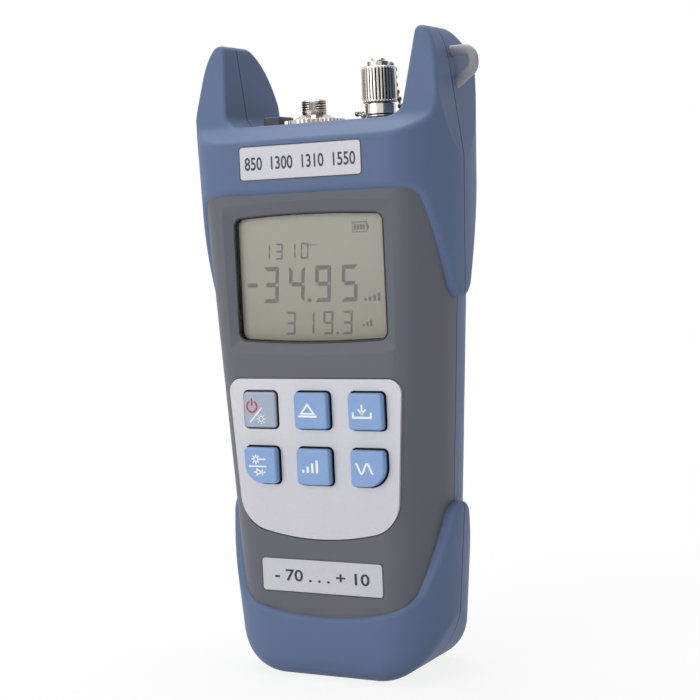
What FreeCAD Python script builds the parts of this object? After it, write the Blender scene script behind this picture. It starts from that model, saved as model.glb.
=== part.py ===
import FreeCAD, Part
import math
import os

import Sketcher

# Handheld optical power meter with a capped laser port.
# Frame: origin under the middle of the foot, +Z up, the display faces -Y,
# and the plane Y = 0 is the parting plane between the two half shells.

Vector = FreeCAD.Vector

SIZES = {
    # Grip: half widths at the foot and at the platform, depths from the parting plane
    "platform_height": 170.0,
    "grip_half_foot": 33.0,
    "grip_half_platform": 43.6,
    "front_depth": 19.5,
    "rear_depth": 20.0,
    "front_corner": 13.0,
    "rear_corner": 12.0,
    "wall": 2.2,
    # Hood: the blue upper bumper with its two horns and side tongues
    "hood_proud_tip": 2.7,
    "hood_proud_side": 1.1,
    "hood_proud_front": 1.5,
    "hood_proud_rear": 2.0,
    "hood_front_corner": 17.0,
    "hood_rear_corner": 9.5,
    "hood_edge_height": 149.0,
    "hood_edge_blend": 5.0,
    "hood_tip_height": 115.4,
    "hood_tip_radius": 6.8,
    "hood_tip_lean": 19.4,
    "hood_lap": 10.0,
    "rim_drop": 5.0,
    "rim_run": 8.0,
    "rim_blend": 6.0,
    "horn_height": 197.0,
    "horn_top_drop": 0.8,
    "horn_crest_width": 2.5,
    "horn_shoulder_drop": 11.0,
    "horn_lean": 7.4,
    "horn_lean_height": 148.0,
    "horn_lean_blend": 40.0,
    "horn_front_top": 6.8,
    "horn_front_round": 3.0,
    "horn_width_base": 15.7,
    "horn_width_top": 12.4,
    "horn_base_fillet": 5.0,
    "horn_inner_round": 2.0,
    "horn_apex": 2.8,
    "horn_back_reach": 20.5,
    "horn_back_drop": 29.0,
    "hood_edge_round": 2.4,
    "horn_edge_round": 1.3,
    "boot_edge_round": 1.6,
    # Boot: the blue lower bumper with its side tongues and the flat foot
    "boot_proud_foot": 2.2,
    "boot_proud_tip": 3.6,
    "boot_proud_front": 1.5,
    "boot_proud_rear": 2.0,
    "boot_front_corner": 17.0,
    "boot_rear_corner": 18.0,
    "boot_edge_height": 19.4,
    "boot_smile_radius": 84.0,
    "boot_tip_height": 53.7,
    "boot_tip_radius": 6.5,
    "boot_tip_lean": 22.0,
    "boot_edge_blend": 5.0,
    "foot_side_over": 0.27,
    "foot_round_width": 22.0,
    "foot_round_height": 28.0,
    "foot_edge_round": 7.0,
    "boot_wall": 2.6,
    # Labels let into the face
    "label_thickness": 0.3,
    "label_recess": 0.2,
    "label_gap": 0.15,
    "label_corner": 1.2,
    "top_label_width": 41.8,
    "top_label_height": 10.3,
    "top_label_low": 153.3,
    "bottom_label_width": 42.1,
    "bottom_label_height": 10.5,
    "bottom_label_low": 26.8,
    # Display: bowed window in a sloped frame, glass and light box behind it
    "window_half": 25.5,
    "window_low": 104.8,
    "window_high": 141.8,
    "window_bow_radius": 360.0,
    "window_corner": 2.5,
    "window_rim": 1.5,
    "window_rim_thickness": 0.8,
    "window_gap": 0.1,
    "frame_slope_depth": 1.1,
    "frame_slope_width": 3.4,
    "frame_land": 0.4,
    "glass_width": 54.0,
    "glass_height": 40.0,
    "glass_thickness": 2.6,
    "glass_gap": 0.15,
    "light_box_margin": 2.0,
    # Keypad: silver plate and two rows of three keys
    "plate_low": 43.7,
    "plate_high": 92.8,
    "plate_half_low": 26.9,
    "plate_half_high": 29.9,
    "plate_bow_radius": 82.0,
    "plate_corner_low": 11.0,
    "plate_corner_high": 4.0,
    "plate_thickness": 0.9,
    "plate_recess": 1.0,
    "plate_gap": 0.35,
    "key_pitch_across": 18.55,
    "key_pitch_up": 17.1,
    "key_row_height": 66.2,
    "key_width": 11.4,
    "key_height": 11.0,
    "key_gap": 0.55,
    "key_corner": 1.2,
    "key_corner_large": 6.0,
    "key_edge_round": 0.7,
    "key_proud": 2.4,
    "power_key_proud": 1.0,
    "key_travel": 1.0,
    "key_flange_reach": 0.9,
    "key_flange_thickness": 0.9,
    "key_play": 0.35,
    "key_stem_diameter": 4.0,
    # Circuit board with one switch behind each key
    "board_half": 29.5,
    "board_low": 46.0,
    "board_high": 145.5,
    "board_thickness": 1.6,
    "board_depth": 7.0,
    "switch_size": 6.0,
    "switch_height": 3.4,
    "switch_button_diameter": 3.4,
    "switch_button_height": 0.8,
    "board_boss_across": 25.0,
    "board_boss_low": 50.0,
    "board_boss_high": 97.0,
    "board_boss_diameter": 6.0,
    "board_screw_diameter": 2.4,
    "board_screw_head": 4.6,
    "board_screw_head_height": 1.6,
    "board_screw_length": 6.0,
    "screw_gap": 0.1,
    # Connector panel clamped in the platform
    "panel_half": 24.0,
    "panel_front": 9.0,
    "panel_rear": 13.0,
    "panel_top_wall": 3.0,
    "panel_flange": 2.0,
    "panel_flange_thickness": 1.6,
    "panel_gap": 0.1,
    "port_line": 2.0,
    # Detector port: knurled flange, threaded barrel, ferrule sleeve, photodiode
    "detector_across": -6.8,
    "flange_diameter": 19.0,
    "flange_thickness": 1.5,
    "flange_cone_low": 14.7,
    "flange_cone_high": 9.5,
    "flange_cone_height": 1.5,
    "flange_notches": 40,
    "flange_notch_depth": 0.45,
    "barrel_diameter": 8.0,
    "barrel_neck_diameter": 7.5,
    "barrel_neck_height": 3.8,
    "barrel_height": 7.6,
    "barrel_bore": 5.6,
    "barrel_bore_depth": 5.4,
    "barrel_chamfer": 0.4,
    "barrel_key_slot": 1.9,
    "barrel_key_slot_depth": 3.2,
    "barrel_key_turn": 20.0,
    "barrel_tail": 9.0,
    "barrel_fit": 0.05,
    "sleeve_diameter": 3.4,
    "ferrule_bore": 2.5,
    "sleeve_below_top": 0.6,
    "sleeve_depth": 8.0,
    "photodiode_diameter": 8.2,
    "photodiode_height": 4.0,
    "nut_across": 12.0,
    "nut_thickness": 2.0,
    # Laser port, its ribbed dust cap, swivel ring and bead chain
    "laser_across": 16.2,
    "laser_collar_diameter": 9.4,
    "laser_collar_height": 5.0,
    "laser_thread_diameter": 7.0,
    "laser_thread_height": 6.6,
    "laser_tail_diameter": 7.0,
    "laser_tail": 9.0,
    "laser_module_diameter": 9.0,
    "laser_module_length": 24.0,
    "cap_diameter": 11.3,
    "cap_height": 11.0,
    "cap_lift": 0.2,
    "cap_bore_gap": 0.15,
    "cap_roof": 3.6,
    "cap_ribs": 24,
    "cap_groove_width": 0.55,
    "cap_groove_depth": 0.5,
    "cap_plain_band": 0.9,
    "cap_edge_chamfer": 0.5,
    "cap_post_diameter": 3.0,
    "cap_post_height": 1.7,
    "cap_head_diameter": 4.4,
    "cap_head_height": 0.8,
    "ring_diameter": 6.9,
    "ring_thickness": 1.2,
    "ring_gap": 0.2,
    "ring_ear_reach": 5.0,
    "ring_ear_width": 2.2,
    "ring_ear_turn": 75.0,
    "bead_diameter": 1.8,
    "bead_pitch": 2.3,
    "chain_wire_diameter": 0.7,
    "chain_cap_gap": 1.05,
    "chain_rest_gap": 0.05,
    "chain_foot_turn": 45.0,
    "chain_bend_high": 1.2,
    "chain_bend_low": 3.0,
    "anchor_across": 7.2,
    "anchor_line": 8.5,
    "anchor_diameter": 3.4,
    "anchor_height": 1.2,
    "anchor_shank_diameter": 1.8,
    # Charging socket with its rubber plug
    "jack_across": -19.8,
    "jack_hole": 5.6,
    "jack_width": 8.4,
    "jack_depth": 10.0,
    "jack_height": 11.0,
    "jack_plug_width": 6.4,
    "jack_plug_depth": 9.0,
    "jack_plug_height": 3.3,
    "jack_plug_corner": 1.2,
    "jack_plug_stem_length": 7.0,
    "jack_plug_gap": 0.15,
    # Strap loops on the horns
    "loop_thickness": 3.2,
    "loop_reach": 2.8,
    "loop_back": 4.0,
    "loop_high": 189.0,
    "loop_low": 176.0,
    "loop_knee": 183.5,
    "loop_root": 9.0,
    "loop_bend": 3.0,
    # Battery bay, door and cells
    "cell_diameter": 14.2,
    "cell_length": 50.0,
    "cell_nub_diameter": 5.2,
    "cell_nub_height": 1.2,
    "cell_count": 3,
    "cell_pitch": 14.6,
    "cell_floor_gap": 0.1,
    "bay_low": 29.0,
    "bay_side_gap": 0.6,
    "bay_floor": 3.4,
    "bay_wall": 1.5,
    "contact_thickness": 0.4,
    "contact_spring_height": 3.0,
    "contact_width": 9.0,
    "door_ledge": 1.5,
    "door_gap": 0.3,
    "door_thickness": 1.8,
    "door_seat_gap": 0.1,
    "door_hook_width": 4.6,
    "door_hook_reach": 2.6,
    "door_hook_thickness": 1.4,
    "door_hook_across": 7.3,
    # Screws that clamp the shells together
    "shell_screw_across_low": 22.0,
    "shell_screw_low": 12.0,
    "shell_screw_across_high": 31.0,
    "shell_screw_high": 155.0,
    "shell_screw_diameter": 3.0,
    "shell_screw_head": 5.6,
    "shell_screw_head_height": 2.2,
    "shell_screw_seat": 8.0,
    "shell_screw_bite": 9.0,
    "shell_boss_diameter": 7.6,
    "counterbore_gap": 0.4,
}

KEYS = {
    # name: column and row of the key, the side of its large corner, and how far it stands proud
    "key_power": (-1, 1, None, "power_key_proud"),
    "key_reference": (0, 1, None, "key_proud"),
    "key_save": (1, 1, None, "key_proud"),
    "key_laser": (-1, 0, -1, "key_proud"),
    "key_decibel": (0, 0, None, "key_proud"),
    "key_wavelength": (1, 0, 1, "key_proud"),
}

TOLERANCE = 1e-4
FAR = 120.0

doc = FreeCAD.newDocument("power_meter")
sheet = doc.addObject("Spreadsheet::Sheet", "Sizes")
for row, (alias, value) in enumerate(SIZES.items(), start=1):
    sheet.set(f"A{row}", alias)
    sheet.set(f"B{row}", str(value))
    sheet.setAlias(f"B{row}", alias)
doc.recompute()

nodes = []


def size(expression):
    """Number that an expression on the sheet stands for."""
    return float(sheet.evalExpression(expression))


def v(alias):
    """Expression that reads one cell of the sheet."""
    return f"Sizes.{alias}"


def place(item, x="0", y="0", z="0"):
    """Bind an object's position to expressions on the sheet."""
    for axis, expression in (("x", x), ("y", y), ("z", z)):
        if expression != "0":
            item.setExpression(f"Placement.Base.{axis}", expression)
    return item


def node(item):
    """List an object as a sub-part that is written to a file."""
    nodes.append(item)
    return item


# Sketch and feature helpers

def new_body(label):
    """Empty body with a label of its own."""
    body = doc.addObject("PartDesign::Body", label)
    body.Label = label
    return body


def new_sketch(body, role, offset="0"):
    """Sketch on one of the body's origin planes, moved along the plane's normal."""
    sketch = body.newObject("Sketcher::SketchObject", body.Label + "_sketch")
    plane = next(item for item in body.Origin.OriginFeatures if item.Role == role)
    sketch.AttachmentSupport = [(plane, "")]
    sketch.MapMode = "FlatFace"
    if offset != "0":
        sketch.setExpression("AttachmentOffset.Base.z", offset)
    return sketch


def draw_outline(sketch, corners, bows=None):
    """Closed outline through corners given as expressions; bows maps an edge to its arc radius."""
    bows = bows or {}
    first = sketch.GeometryCount
    count = len(corners)
    points = [Vector(size(x), size(y), 0) for x, y in corners]
    for index, point in enumerate(points):
        following = points[(index + 1) % count]
        if index in bows:
            chord = following - point
            radius = size(bows[index])
            sag = radius - math.sqrt(radius ** 2 - chord.Length ** 2 / 4)
            outward = Vector(chord.y, -chord.x, 0).normalize()
            middle = (point + following) / 2 + outward * sag
            sketch.addGeometry(Part.Arc(point, middle, following), False)
        else:
            sketch.addGeometry(Part.LineSegment(point, following), False)
    for index in range(count):
        link = Sketcher.Constraint("Coincident", first + index, 2, first + (index + 1) % count, 1)
        sketch.addConstraint(link)
    for index, (x, y) in enumerate(corners):
        pin(sketch, "DistanceX", first + index, x)
        pin(sketch, "DistanceY", first + index, y)
    for index, radius in bows.items():
        number = sketch.addConstraint(Sketcher.Constraint("Radius", first + index, size(radius)))
        sketch.setExpression(f"Constraints[{number}]", radius)


def pin(sketch, kind, edge, expression):
    """Hold the start of an edge at a distance from the sketch origin."""
    axis = {"DistanceX": -2, "DistanceY": -1}[kind]
    if expression == "0":
        sketch.addConstraint(Sketcher.Constraint("PointOnObject", edge, 1, axis))
        return
    number = sketch.addConstraint(Sketcher.Constraint(kind, -1, 1, edge, 1, size(expression)))
    sketch.setExpression(f"Constraints[{number}]", expression)


def draw_circle(sketch, diameter, x="0", y="0"):
    """Circle of a bound diameter about a bound centre."""
    centre = Vector(size(x), size(y), 0)
    circle = Part.Circle(centre, Vector(0, 0, 1), size(diameter) / 2)
    index = sketch.addGeometry(circle, False)
    number = sketch.addConstraint(Sketcher.Constraint("Diameter", index, size(diameter)))
    sketch.setExpression(f"Constraints[{number}]", diameter)
    for kind, axis, expression in (("DistanceX", -2, x), ("DistanceY", -1, y)):
        if expression == "0":
            sketch.addConstraint(Sketcher.Constraint("PointOnObject", index, 3, axis))
        else:
            held = Sketcher.Constraint(kind, -1, 1, index, 3, size(expression))
            number = sketch.addConstraint(held)
            sketch.setExpression(f"Constraints[{number}]", expression)


def rectangle(width, height, x="0", y="0"):
    """Corners of a rectangle about a centre, as expressions."""
    left = f"{x} - ({width}) / 2"
    right = f"{x} + ({width}) / 2"
    low = f"{y} - ({height}) / 2"
    high = f"{y} + ({height}) / 2"
    return [(left, low), (right, low), (right, high), (left, high)]


def pad(body, sketch, length, backwards=False):
    """Raise a sketch along its normal, or against it."""
    feature = body.newObject("PartDesign::Pad", body.Label + "_pad")
    feature.Profile = sketch
    feature.Reversed = backwards
    feature.setExpression("Length", length)
    doc.recompute()
    return feature


def pocket(body, sketch, length, backwards=False):
    """Sink a sketch against its normal, or along it."""
    feature = body.newObject("PartDesign::Pocket", body.Label + "_pocket")
    feature.Profile = sketch
    feature.Reversed = backwards
    feature.setExpression("Length", length)
    doc.recompute()
    return feature


def revolve(body, corners):
    """Turn a half profile of radius and height about the Z axis."""
    sketch = new_sketch(body, "XZ_Plane")
    draw_outline(sketch, corners)
    feature = body.newObject("PartDesign::Revolution", body.Label + "_turned")
    feature.Profile = sketch
    feature.ReferenceAxis = (sketch, ["V_Axis"])
    feature.Angle = 360
    doc.recompute()
    return feature


def round_edges(body, wanted, radius):
    """Fillet the edges of a body's tip that a test picks out."""
    base = body.Tip
    names = [f"Edge{number}" for number, edge in enumerate(base.Shape.Edges, start=1) if wanted(edge)]
    feature = body.newObject("PartDesign::Fillet", body.Label + "_round")
    feature.Base = (base, names)
    feature.setExpression("Radius", radius)
    doc.recompute()
    return feature


def polar(body, feature, count):
    """Repeat a feature about the body's Z axis."""
    pattern = body.newObject("PartDesign::PolarPattern", body.Label + "_pattern")
    pattern.Originals = [feature]
    axis = next(item for item in body.Origin.OriginFeatures if item.Role == "Z_Axis")
    pattern.Axis = (axis, [""])
    pattern.Angle = 360
    pattern.setExpression("Occurrences", count)
    body.Tip = pattern
    doc.recompute()
    return pattern


def middle(edge):
    """Point half way along an edge."""
    return edge.valueAt((edge.FirstParameter + edge.LastParameter) / 2)


def runs_along(edge, axis):
    """True for a straight edge parallel to an axis."""
    if edge.Curve.TypeId != "Part::GeomLine":
        return False
    return abs(edge.Curve.Direction.dot(axis)) > 1 - TOLERANCE


def cylinder(label, diameter, height, x="0", y="0", z="0"):
    """Upright cylinder on bound sizes, standing at a bound position."""
    item = doc.addObject("Part::Cylinder", label)
    item.Label = label
    item.setExpression("Radius", f"({diameter}) / 2")
    item.setExpression("Height", height)
    return place(item, x, y, z)


def box(label, width, depth, height, x="0", y="0", z="0"):
    """Box centred across X and Y, standing on a bound position."""
    item = doc.addObject("Part::Box", label)
    item.Label = label
    item.setExpression("Length", width)
    item.setExpression("Width", depth)
    item.setExpression("Height", height)
    return place(item, f"{x} - ({width}) / 2", f"{y} - ({depth}) / 2", z)


def cut(label, base, tools):
    """Base less every tool."""
    for number, tool in enumerate(tools, start=1):
        item = doc.addObject("Part::Cut", f"{label}_{number}")
        item.Base = base
        item.Tool = tool
        base = item
    base.Label = label
    return base


def fuse(label, shapes):
    """One solid out of several that meet."""
    item = doc.addObject("Part::MultiFuse", label)
    item.Label = label
    item.Shapes = shapes
    return item


def group(label, members):
    """Separate like solids kept in one node."""
    item = doc.addObject("Part::Compound", label)
    item.Label = label
    item.Links = members
    return item


def shaped(label, shape):
    """Object that holds a moulded shape worked out below."""
    item = doc.addObject("Part::Feature", label)
    item.Label = label
    item.Shape = shape
    item.Placement = FreeCAD.Placement()
    return item


# Moulded form helpers

def quarter_ellipse(start, corner, end):
    """Exact quarter ellipse from start to end, tangent to the two lines that meet at corner."""
    curve = Part.BSplineCurve()
    weights = [1.0, math.sqrt(0.5), 1.0]
    curve.buildFromPolesMultsKnots([start, corner, end], [3, 3], [0.0, 1.0], False, 2, weights)
    return curve.toShape()


def half_section(z, half, depth, corner, side):
    """Half of the housing's section: flat face, elliptical corners, straight parting line."""
    face = side * depth
    right = Vector(half, 0, z)
    left = Vector(-half, 0, z)
    face_right = Vector(half - corner, face, z)
    face_left = Vector(corner - half, face, z)
    edges = [
        quarter_ellipse(right, Vector(half, face, z), face_right),
        Part.makeLine(face_right, face_left),
        quarter_ellipse(face_left, Vector(-half, face, z), left),
        Part.makeLine(left, right),
    ]
    return Part.Wire(edges)


def half_loft(low, high, half_at, depth, corner, side):
    """Tapered half housing between two heights."""
    sections = [half_section(z, half_at(z), depth, corner, side) for z in (low, high)]
    return Part.makeLoft(sections, True, True)


def taper(low, half_low, high, half_high):
    """Half width as a straight-line function of height."""
    return lambda z: half_low + (half_high - half_low) * (z - low) / (high - low)


def smoothed(points, radii, closed=True):
    """Edges through points, with a tangent arc of its own radius at each corner."""
    count = len(points)
    starts = []
    ends = []
    arcs = []
    for index, (point, radius) in enumerate(zip(points, radii)):
        inner = closed or 0 < index < count - 1
        if radius == 0 or not inner:
            starts.append(point)
            ends.append(point)
            arcs.append(None)
            continue
        back = (points[index - 1] - point).normalize()
        ahead = (points[(index + 1) % count] - point).normalize()
        half_angle = back.getAngle(ahead) / 2
        reach = radius / math.tan(half_angle)
        bisector = (back + ahead).normalize()
        starts.append(point + back * reach)
        ends.append(point + ahead * reach)
        crest = point + bisector * (radius / math.sin(half_angle) - radius)
        arcs.append(Part.Arc(starts[-1], crest, ends[-1]).toShape())
    edges = []
    for index in range(count):
        if arcs[index] is not None:
            edges.append(arcs[index])
        if closed or index < count - 1:
            following = starts[(index + 1) % count]
            if (ends[index] - following).Length > TOLERANCE:
                edges.append(Part.makeLine(ends[index], following))
    return edges


def across(edges):
    """Solid of a side outline carried right across the housing."""
    face = Part.Face(Part.Wire(edges))
    face.translate(Vector(-FAR, 0, 0))
    return face.extrude(Vector(2 * FAR, 0, 0))


def through(edges):
    """Solid of a front outline carried right through the housing."""
    face = Part.Face(Part.Wire(edges))
    face.translate(Vector(0, -FAR, 0))
    return face.extrude(Vector(0, 2 * FAR, 0))


def side_point(y, z):
    """Point of a side outline."""
    return Vector(0, y, z)


def front_point(x, z):
    """Point of a front outline."""
    return Vector(x, 0, z)


def on_surface(shape, point):
    """True where a point lies on a solid's skin."""
    return shape.Shells[0].distToShape(Part.Vertex(point))[0] < TOLERANCE


def soften(solid, pairs, radius):
    """Round the edges along which two forming solids meet, away from the parting plane."""
    chosen = []
    for edge in solid.Edges:
        point = middle(edge)
        if abs(point.y) < TOLERANCE:
            continue
        if any(on_surface(one, point) and on_surface(other, point) for one, other in pairs):
            chosen.append(edge)
    return solid.makeFillet(radius, chosen)


def tongue_lines(radius, lean):
    """How far past a round tip its two leaning sides would cross, and their run per height."""
    angle = math.radians(lean)
    return radius / math.sin(angle) - radius, math.tan(angle)


# Forms shared by the shells

platform = size(v("platform_height"))
hood_tip = size(v("hood_tip_height"))
boot_tip = size(v("boot_tip_height"))
grip_half = taper(0, size(v("grip_half_foot")), platform, size(v("grip_half_platform")))
hood_half = taper(
    hood_tip, grip_half(hood_tip) + size(v("hood_proud_tip")),
    platform, grip_half(platform) + size(v("hood_proud_side")),
)
boot_half = taper(
    0, grip_half(0) + size(v("boot_proud_foot")),
    boot_tip, grip_half(boot_tip) + size(v("boot_proud_tip")),
)
horn_half = hood_half(size(v("horn_height")))


def foot_form(inset, top):
    """Front outline of the foot, drawn in by an inset, up to a level top."""
    shoulder = size(v("foot_round_height"))
    beside = boot_half(shoulder) + size(v("foot_side_over"))
    flat = beside - size(v("foot_round_width"))
    wide = beside - inset
    edges = [
        Part.makeLine(front_point(-flat, inset), front_point(flat, inset)),
        quarter_ellipse(front_point(flat, inset), front_point(wide, inset), front_point(wide, shoulder)),
    ]
    rest = [(wide, shoulder), (FAR, shoulder), (FAR, top), (-FAR, top), (-FAR, shoulder), (-wide, shoulder)]
    corners = [front_point(x, z) for x, z in rest]
    edges += [Part.makeLine(start, end) for start, end in zip(corners, corners[1:])]
    edges.append(
        quarter_ellipse(front_point(-wide, shoulder), front_point(-wide, inset), front_point(-flat, inset))
    )
    return through(edges)


def hood_edge_form():
    """Everything above the hood's lower edge and its two side tongues."""
    radius = size(v("hood_tip_radius"))
    edge = size(v("hood_edge_height"))
    beyond, slope = tongue_lines(radius, size(v("hood_tip_lean")))
    point = size(v("hood_tip_height")) - beyond
    shoulder = (edge - point) * slope
    blend = size(v("hood_edge_blend"))
    corners = [(-FAR, 2 * FAR), (-FAR, edge), (-shoulder, edge), (0, point), (shoulder, edge)]
    corners += [(FAR, edge), (FAR, 2 * FAR)]
    outline = [side_point(y, z) for y, z in corners]
    return across(smoothed(outline, [0, 0, blend, radius, blend, 0, 0]))


def boot_edge_form():
    """Everything below the boot's smiling upper edge and its two side tongues."""
    radius = size(v("boot_tip_radius"))
    beyond, slope = tongue_lines(radius, size(v("boot_tip_lean")))
    point = size(v("boot_tip_height")) + beyond
    reach = (point + FAR) * slope
    outline = [side_point(-reach, -FAR), side_point(reach, -FAR), side_point(0, point)]
    tongue = across(smoothed(outline, [0, 0, radius]))
    bow = size(v("boot_smile_radius"))
    lowest = size(v("boot_edge_height"))
    span = boot_half(boot_tip)
    lift = bow - math.sqrt(bow ** 2 - span ** 2)
    left = front_point(-span, lowest + lift)
    right = front_point(span, lowest + lift)
    under_left = front_point(-span, -FAR)
    under_right = front_point(span, -FAR)
    smile = [
        Part.Arc(left, front_point(0, lowest), right).toShape(),
        Part.makeLine(right, under_right),
        Part.makeLine(under_right, under_left),
        Part.makeLine(under_left, left),
    ]
    band = through(smile)
    form = tongue.fuse(band).removeSplitter()
    creases = []
    for edge in form.Edges:
        point = middle(edge)
        if on_surface(tongue, point) and on_surface(band, point):
            creases.append(edge)
    return form.makeFillet(size(v("boot_edge_blend")), creases)


def hood_side_form():
    """Side outline of the hood: sloped rim, leaning horn fronts and rounded horn backs."""
    top = size(v("horn_height"))
    floor = size(v("platform_height"))
    rim = size(v("rim_run")) - size(v("front_depth")) - size(v("hood_proud_front"))
    fall = size(v("rim_drop")) / size(v("rim_run"))
    apex = size(v("horn_apex"))
    back = apex + size(v("horn_back_reach"))
    shoulder = top - size(v("horn_back_drop"))
    lean = -size(v("horn_front_top"))
    front = [(-FAR, floor - (FAR + rim) * fall), (rim, floor), (lean, top), (apex, top)]
    path = [side_point(y, z) for y, z in front]
    edges = smoothed(path, [0, size(v("rim_blend")), size(v("horn_front_round")), 0], closed=False)
    edges.append(quarter_ellipse(side_point(apex, top), side_point(back, top), side_point(back, shoulder)))
    rest = [(back, shoulder), (FAR, shoulder), (FAR, -FAR), (-FAR, -FAR), front[0]]
    corners = [side_point(y, z) for y, z in rest]
    edges += [Part.makeLine(start, end) for start, end in zip(corners, corners[1:])]
    return across(edges)


def hood_front_form():
    """Front outline of the hood: rounded horns either side of the connector bay."""
    top = size(v("horn_height"))
    floor = size(v("platform_height"))
    outer = horn_half
    level = top - size(v("horn_top_drop"))
    shoulder = level - size(v("horn_shoulder_drop"))
    inner_top = outer - size(v("horn_width_top"))
    inner_base = outer - size(v("horn_width_base"))
    crest = inner_top + size(v("horn_crest_width"))
    bay = [(crest, level), (inner_top, top), (inner_base, floor)]
    bay += [(-x, z) for x, z in reversed(bay)]
    round_in = size(v("horn_inner_round"))
    base = size(v("horn_base_fillet"))
    path = [front_point(x, z) for x, z in bay]
    edges = smoothed(path, [0, round_in, base, base, round_in, 0], closed=False)
    start = size(v("horn_lean_height"))
    slope = math.tan(math.radians(size(v("horn_lean"))))
    for side in (-1, 1):
        beside = front_point(side * (outer - (shoulder - start) * slope), shoulder)
        corner = front_point(side * (outer - (level - start) * slope), level)
        edges.append(quarter_ellipse(beside, corner, front_point(side * crest, level)))
        rise = [front_point(side * outer, -FAR), front_point(side * outer, start), beside]
        edges += smoothed(rise, [0, size(v("horn_lean_blend")), 0], closed=False)
    edges.append(Part.makeLine(front_point(-outer, -FAR), front_point(outer, -FAR)))
    return through(Part.__sortEdges__(edges))


def hood_solid(side):
    """Half of the hood as a filled form; side is -1 in front of the parting plane, 1 behind."""
    name = {-1: "front", 1: "rear"}[side]
    depth = size(v(f"{name}_depth")) + size(v(f"hood_proud_{name}"))
    margin = size(v("hood_tip_radius"))
    low = size(v("hood_tip_height")) - margin
    high = size(v("horn_height")) + margin
    loft = half_loft(low, high, hood_half, depth, size(v(f"hood_{name}_corner")), side)
    edge = hood_edge_form()
    profile = hood_side_form()
    front = hood_front_form()
    solid = loft.common(edge).common(profile).common(front)
    solid = soften(solid, [(loft, edge), (loft, profile)], size(v("hood_edge_round")))
    horn_edges = [(loft, front)]
    if side < 0:
        horn_edges.append((front, profile))
    return soften(solid, horn_edges, size(v("horn_edge_round")))


def boot_solid(side):
    """Half of the boot as a filled form."""
    name = {-1: "front", 1: "rear"}[side]
    depth = size(v(f"{name}_depth")) + size(v(f"boot_proud_{name}"))
    margin = size(v("boot_tip_radius"))
    high = size(v("boot_tip_height")) + margin
    loft = half_loft(-margin, high, boot_half, depth, size(v(f"boot_{name}_corner")), side)
    edge = boot_edge_form()
    foot = foot_form(0, high + margin)
    solid = loft.common(foot)
    solid = soften(solid, [(loft, foot)], size(v("foot_edge_round")))
    solid = solid.common(edge)
    return soften(solid, [(loft, edge)], size(v("boot_edge_round")))


def grip_solid(side, inset, foot_inset, top):
    """Half of the plain grip, drawn in by an inset, from the foot to a level top."""
    name = {-1: "front", 1: "rear"}[side]
    depth = size(v(f"{name}_depth")) - inset
    corner = size(v(f"{name}_corner")) - inset
    loft = half_loft(0, size(v("platform_height")), lambda z: grip_half(z) - inset, depth, corner, side)
    return loft.common(foot_form(foot_inset, top))


def rod(x, z, diameter, near, end):
    """Round bar along Y between two depths."""
    low = min(near, end)
    return Part.makeCylinder(diameter / 2, abs(end - near), Vector(x, low, z), Vector(0, 1, 0))


def block(x_half, y_low, y_high, z_low, z_high, x=0.0):
    """Plain block centred on a line across."""
    corner = Vector(x - x_half, y_low, z_low)
    return Part.makeBox(2 * x_half, y_high - y_low, z_high - z_low, corner)


def screw_places():
    """Across and height of the four screws that clamp the shells."""
    low = (size(v("shell_screw_across_low")), size(v("shell_screw_low")))
    high = (size(v("shell_screw_across_high")), size(v("shell_screw_high")))
    return [(side * x, z) for x, z in (low, high) for side in (-1, 1)]


def board_places():
    """Across and height of the four board bosses."""
    x = size(v("board_boss_across"))
    return [(side * x, size(v(name))) for name in ("board_boss_low", "board_boss_high") for side in (-1, 1)]


# Strap loops: a bent rubber bar rooted in each horn behind the parting plane

def loop_solid(side):
    """Strap loop on one side of the housing, as a bar along straight legs and tangent bends."""
    thickness = size(v("loop_thickness"))
    root = horn_half - size(v("loop_root"))
    out = horn_half + size(v("loop_reach")) - thickness / 2
    legs = [(root, "loop_high"), (out, "loop_high"), (out, "loop_knee"), (root, "loop_low")]
    back = Vector(0, size(v("loop_back")), 0)
    points = [front_point(side * x, size(v(height))) + back for x, height in legs]
    bend = size(v("loop_bend"))
    path = Part.Wire(smoothed(points, [0, bend, bend, 0], closed=False))
    ring = Part.Wire(Part.makeCircle(thickness / 2, points[0], Vector(side, 0, 0)))
    return path.makePipeShell([ring], True, True)


loops = {"left": loop_solid(-1), "right": loop_solid(1)}
for side_name, solid in loops.items():
    node(shaped(f"strap_loop_{side_name}", solid))


# Shells

core_top = platform - size(v("hood_lap"))
cavity_top = core_top + size(v("wall"))
cavity_foot = size(v("boot_wall")) + size(v("wall"))
CELL_ROW = "(Sizes.cell_count - 1) * Sizes.cell_pitch + Sizes.cell_diameter"
CELL_TIP = "Sizes.contact_spring_height + Sizes.cell_length + Sizes.cell_nub_height"
bay_half = size(CELL_ROW) / 2 + size(v("bay_side_gap"))
bay_low = size(v("bay_low"))
bay_high = bay_low + size(CELL_TIP) + size(v("contact_thickness"))
door_half = bay_half + size(v("door_ledge"))
door_low = bay_low - size(v("door_ledge"))
door_high = bay_high + size(v("door_ledge"))
door_inner = size(v("rear_depth")) - size(v("door_thickness"))


def panel_void():
    """Slot that the two shells close round the connector panel and its flange."""
    gap = size(v("panel_gap"))
    top = size(v("platform_height"))
    ledge = top - size(v("panel_top_wall"))
    flange = size(v("panel_flange"))
    half = size(v("panel_half")) + gap
    front = -size(v("panel_front")) - gap
    rear = size(v("panel_rear")) + gap
    bottom = ledge - size(v("panel_flange_thickness"))
    opening = block(half, front, rear, core_top, top + gap)
    groove = block(half + flange, front - flange, rear + flange, bottom - gap, ledge + gap)
    return opening.fuse(groove)


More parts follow.
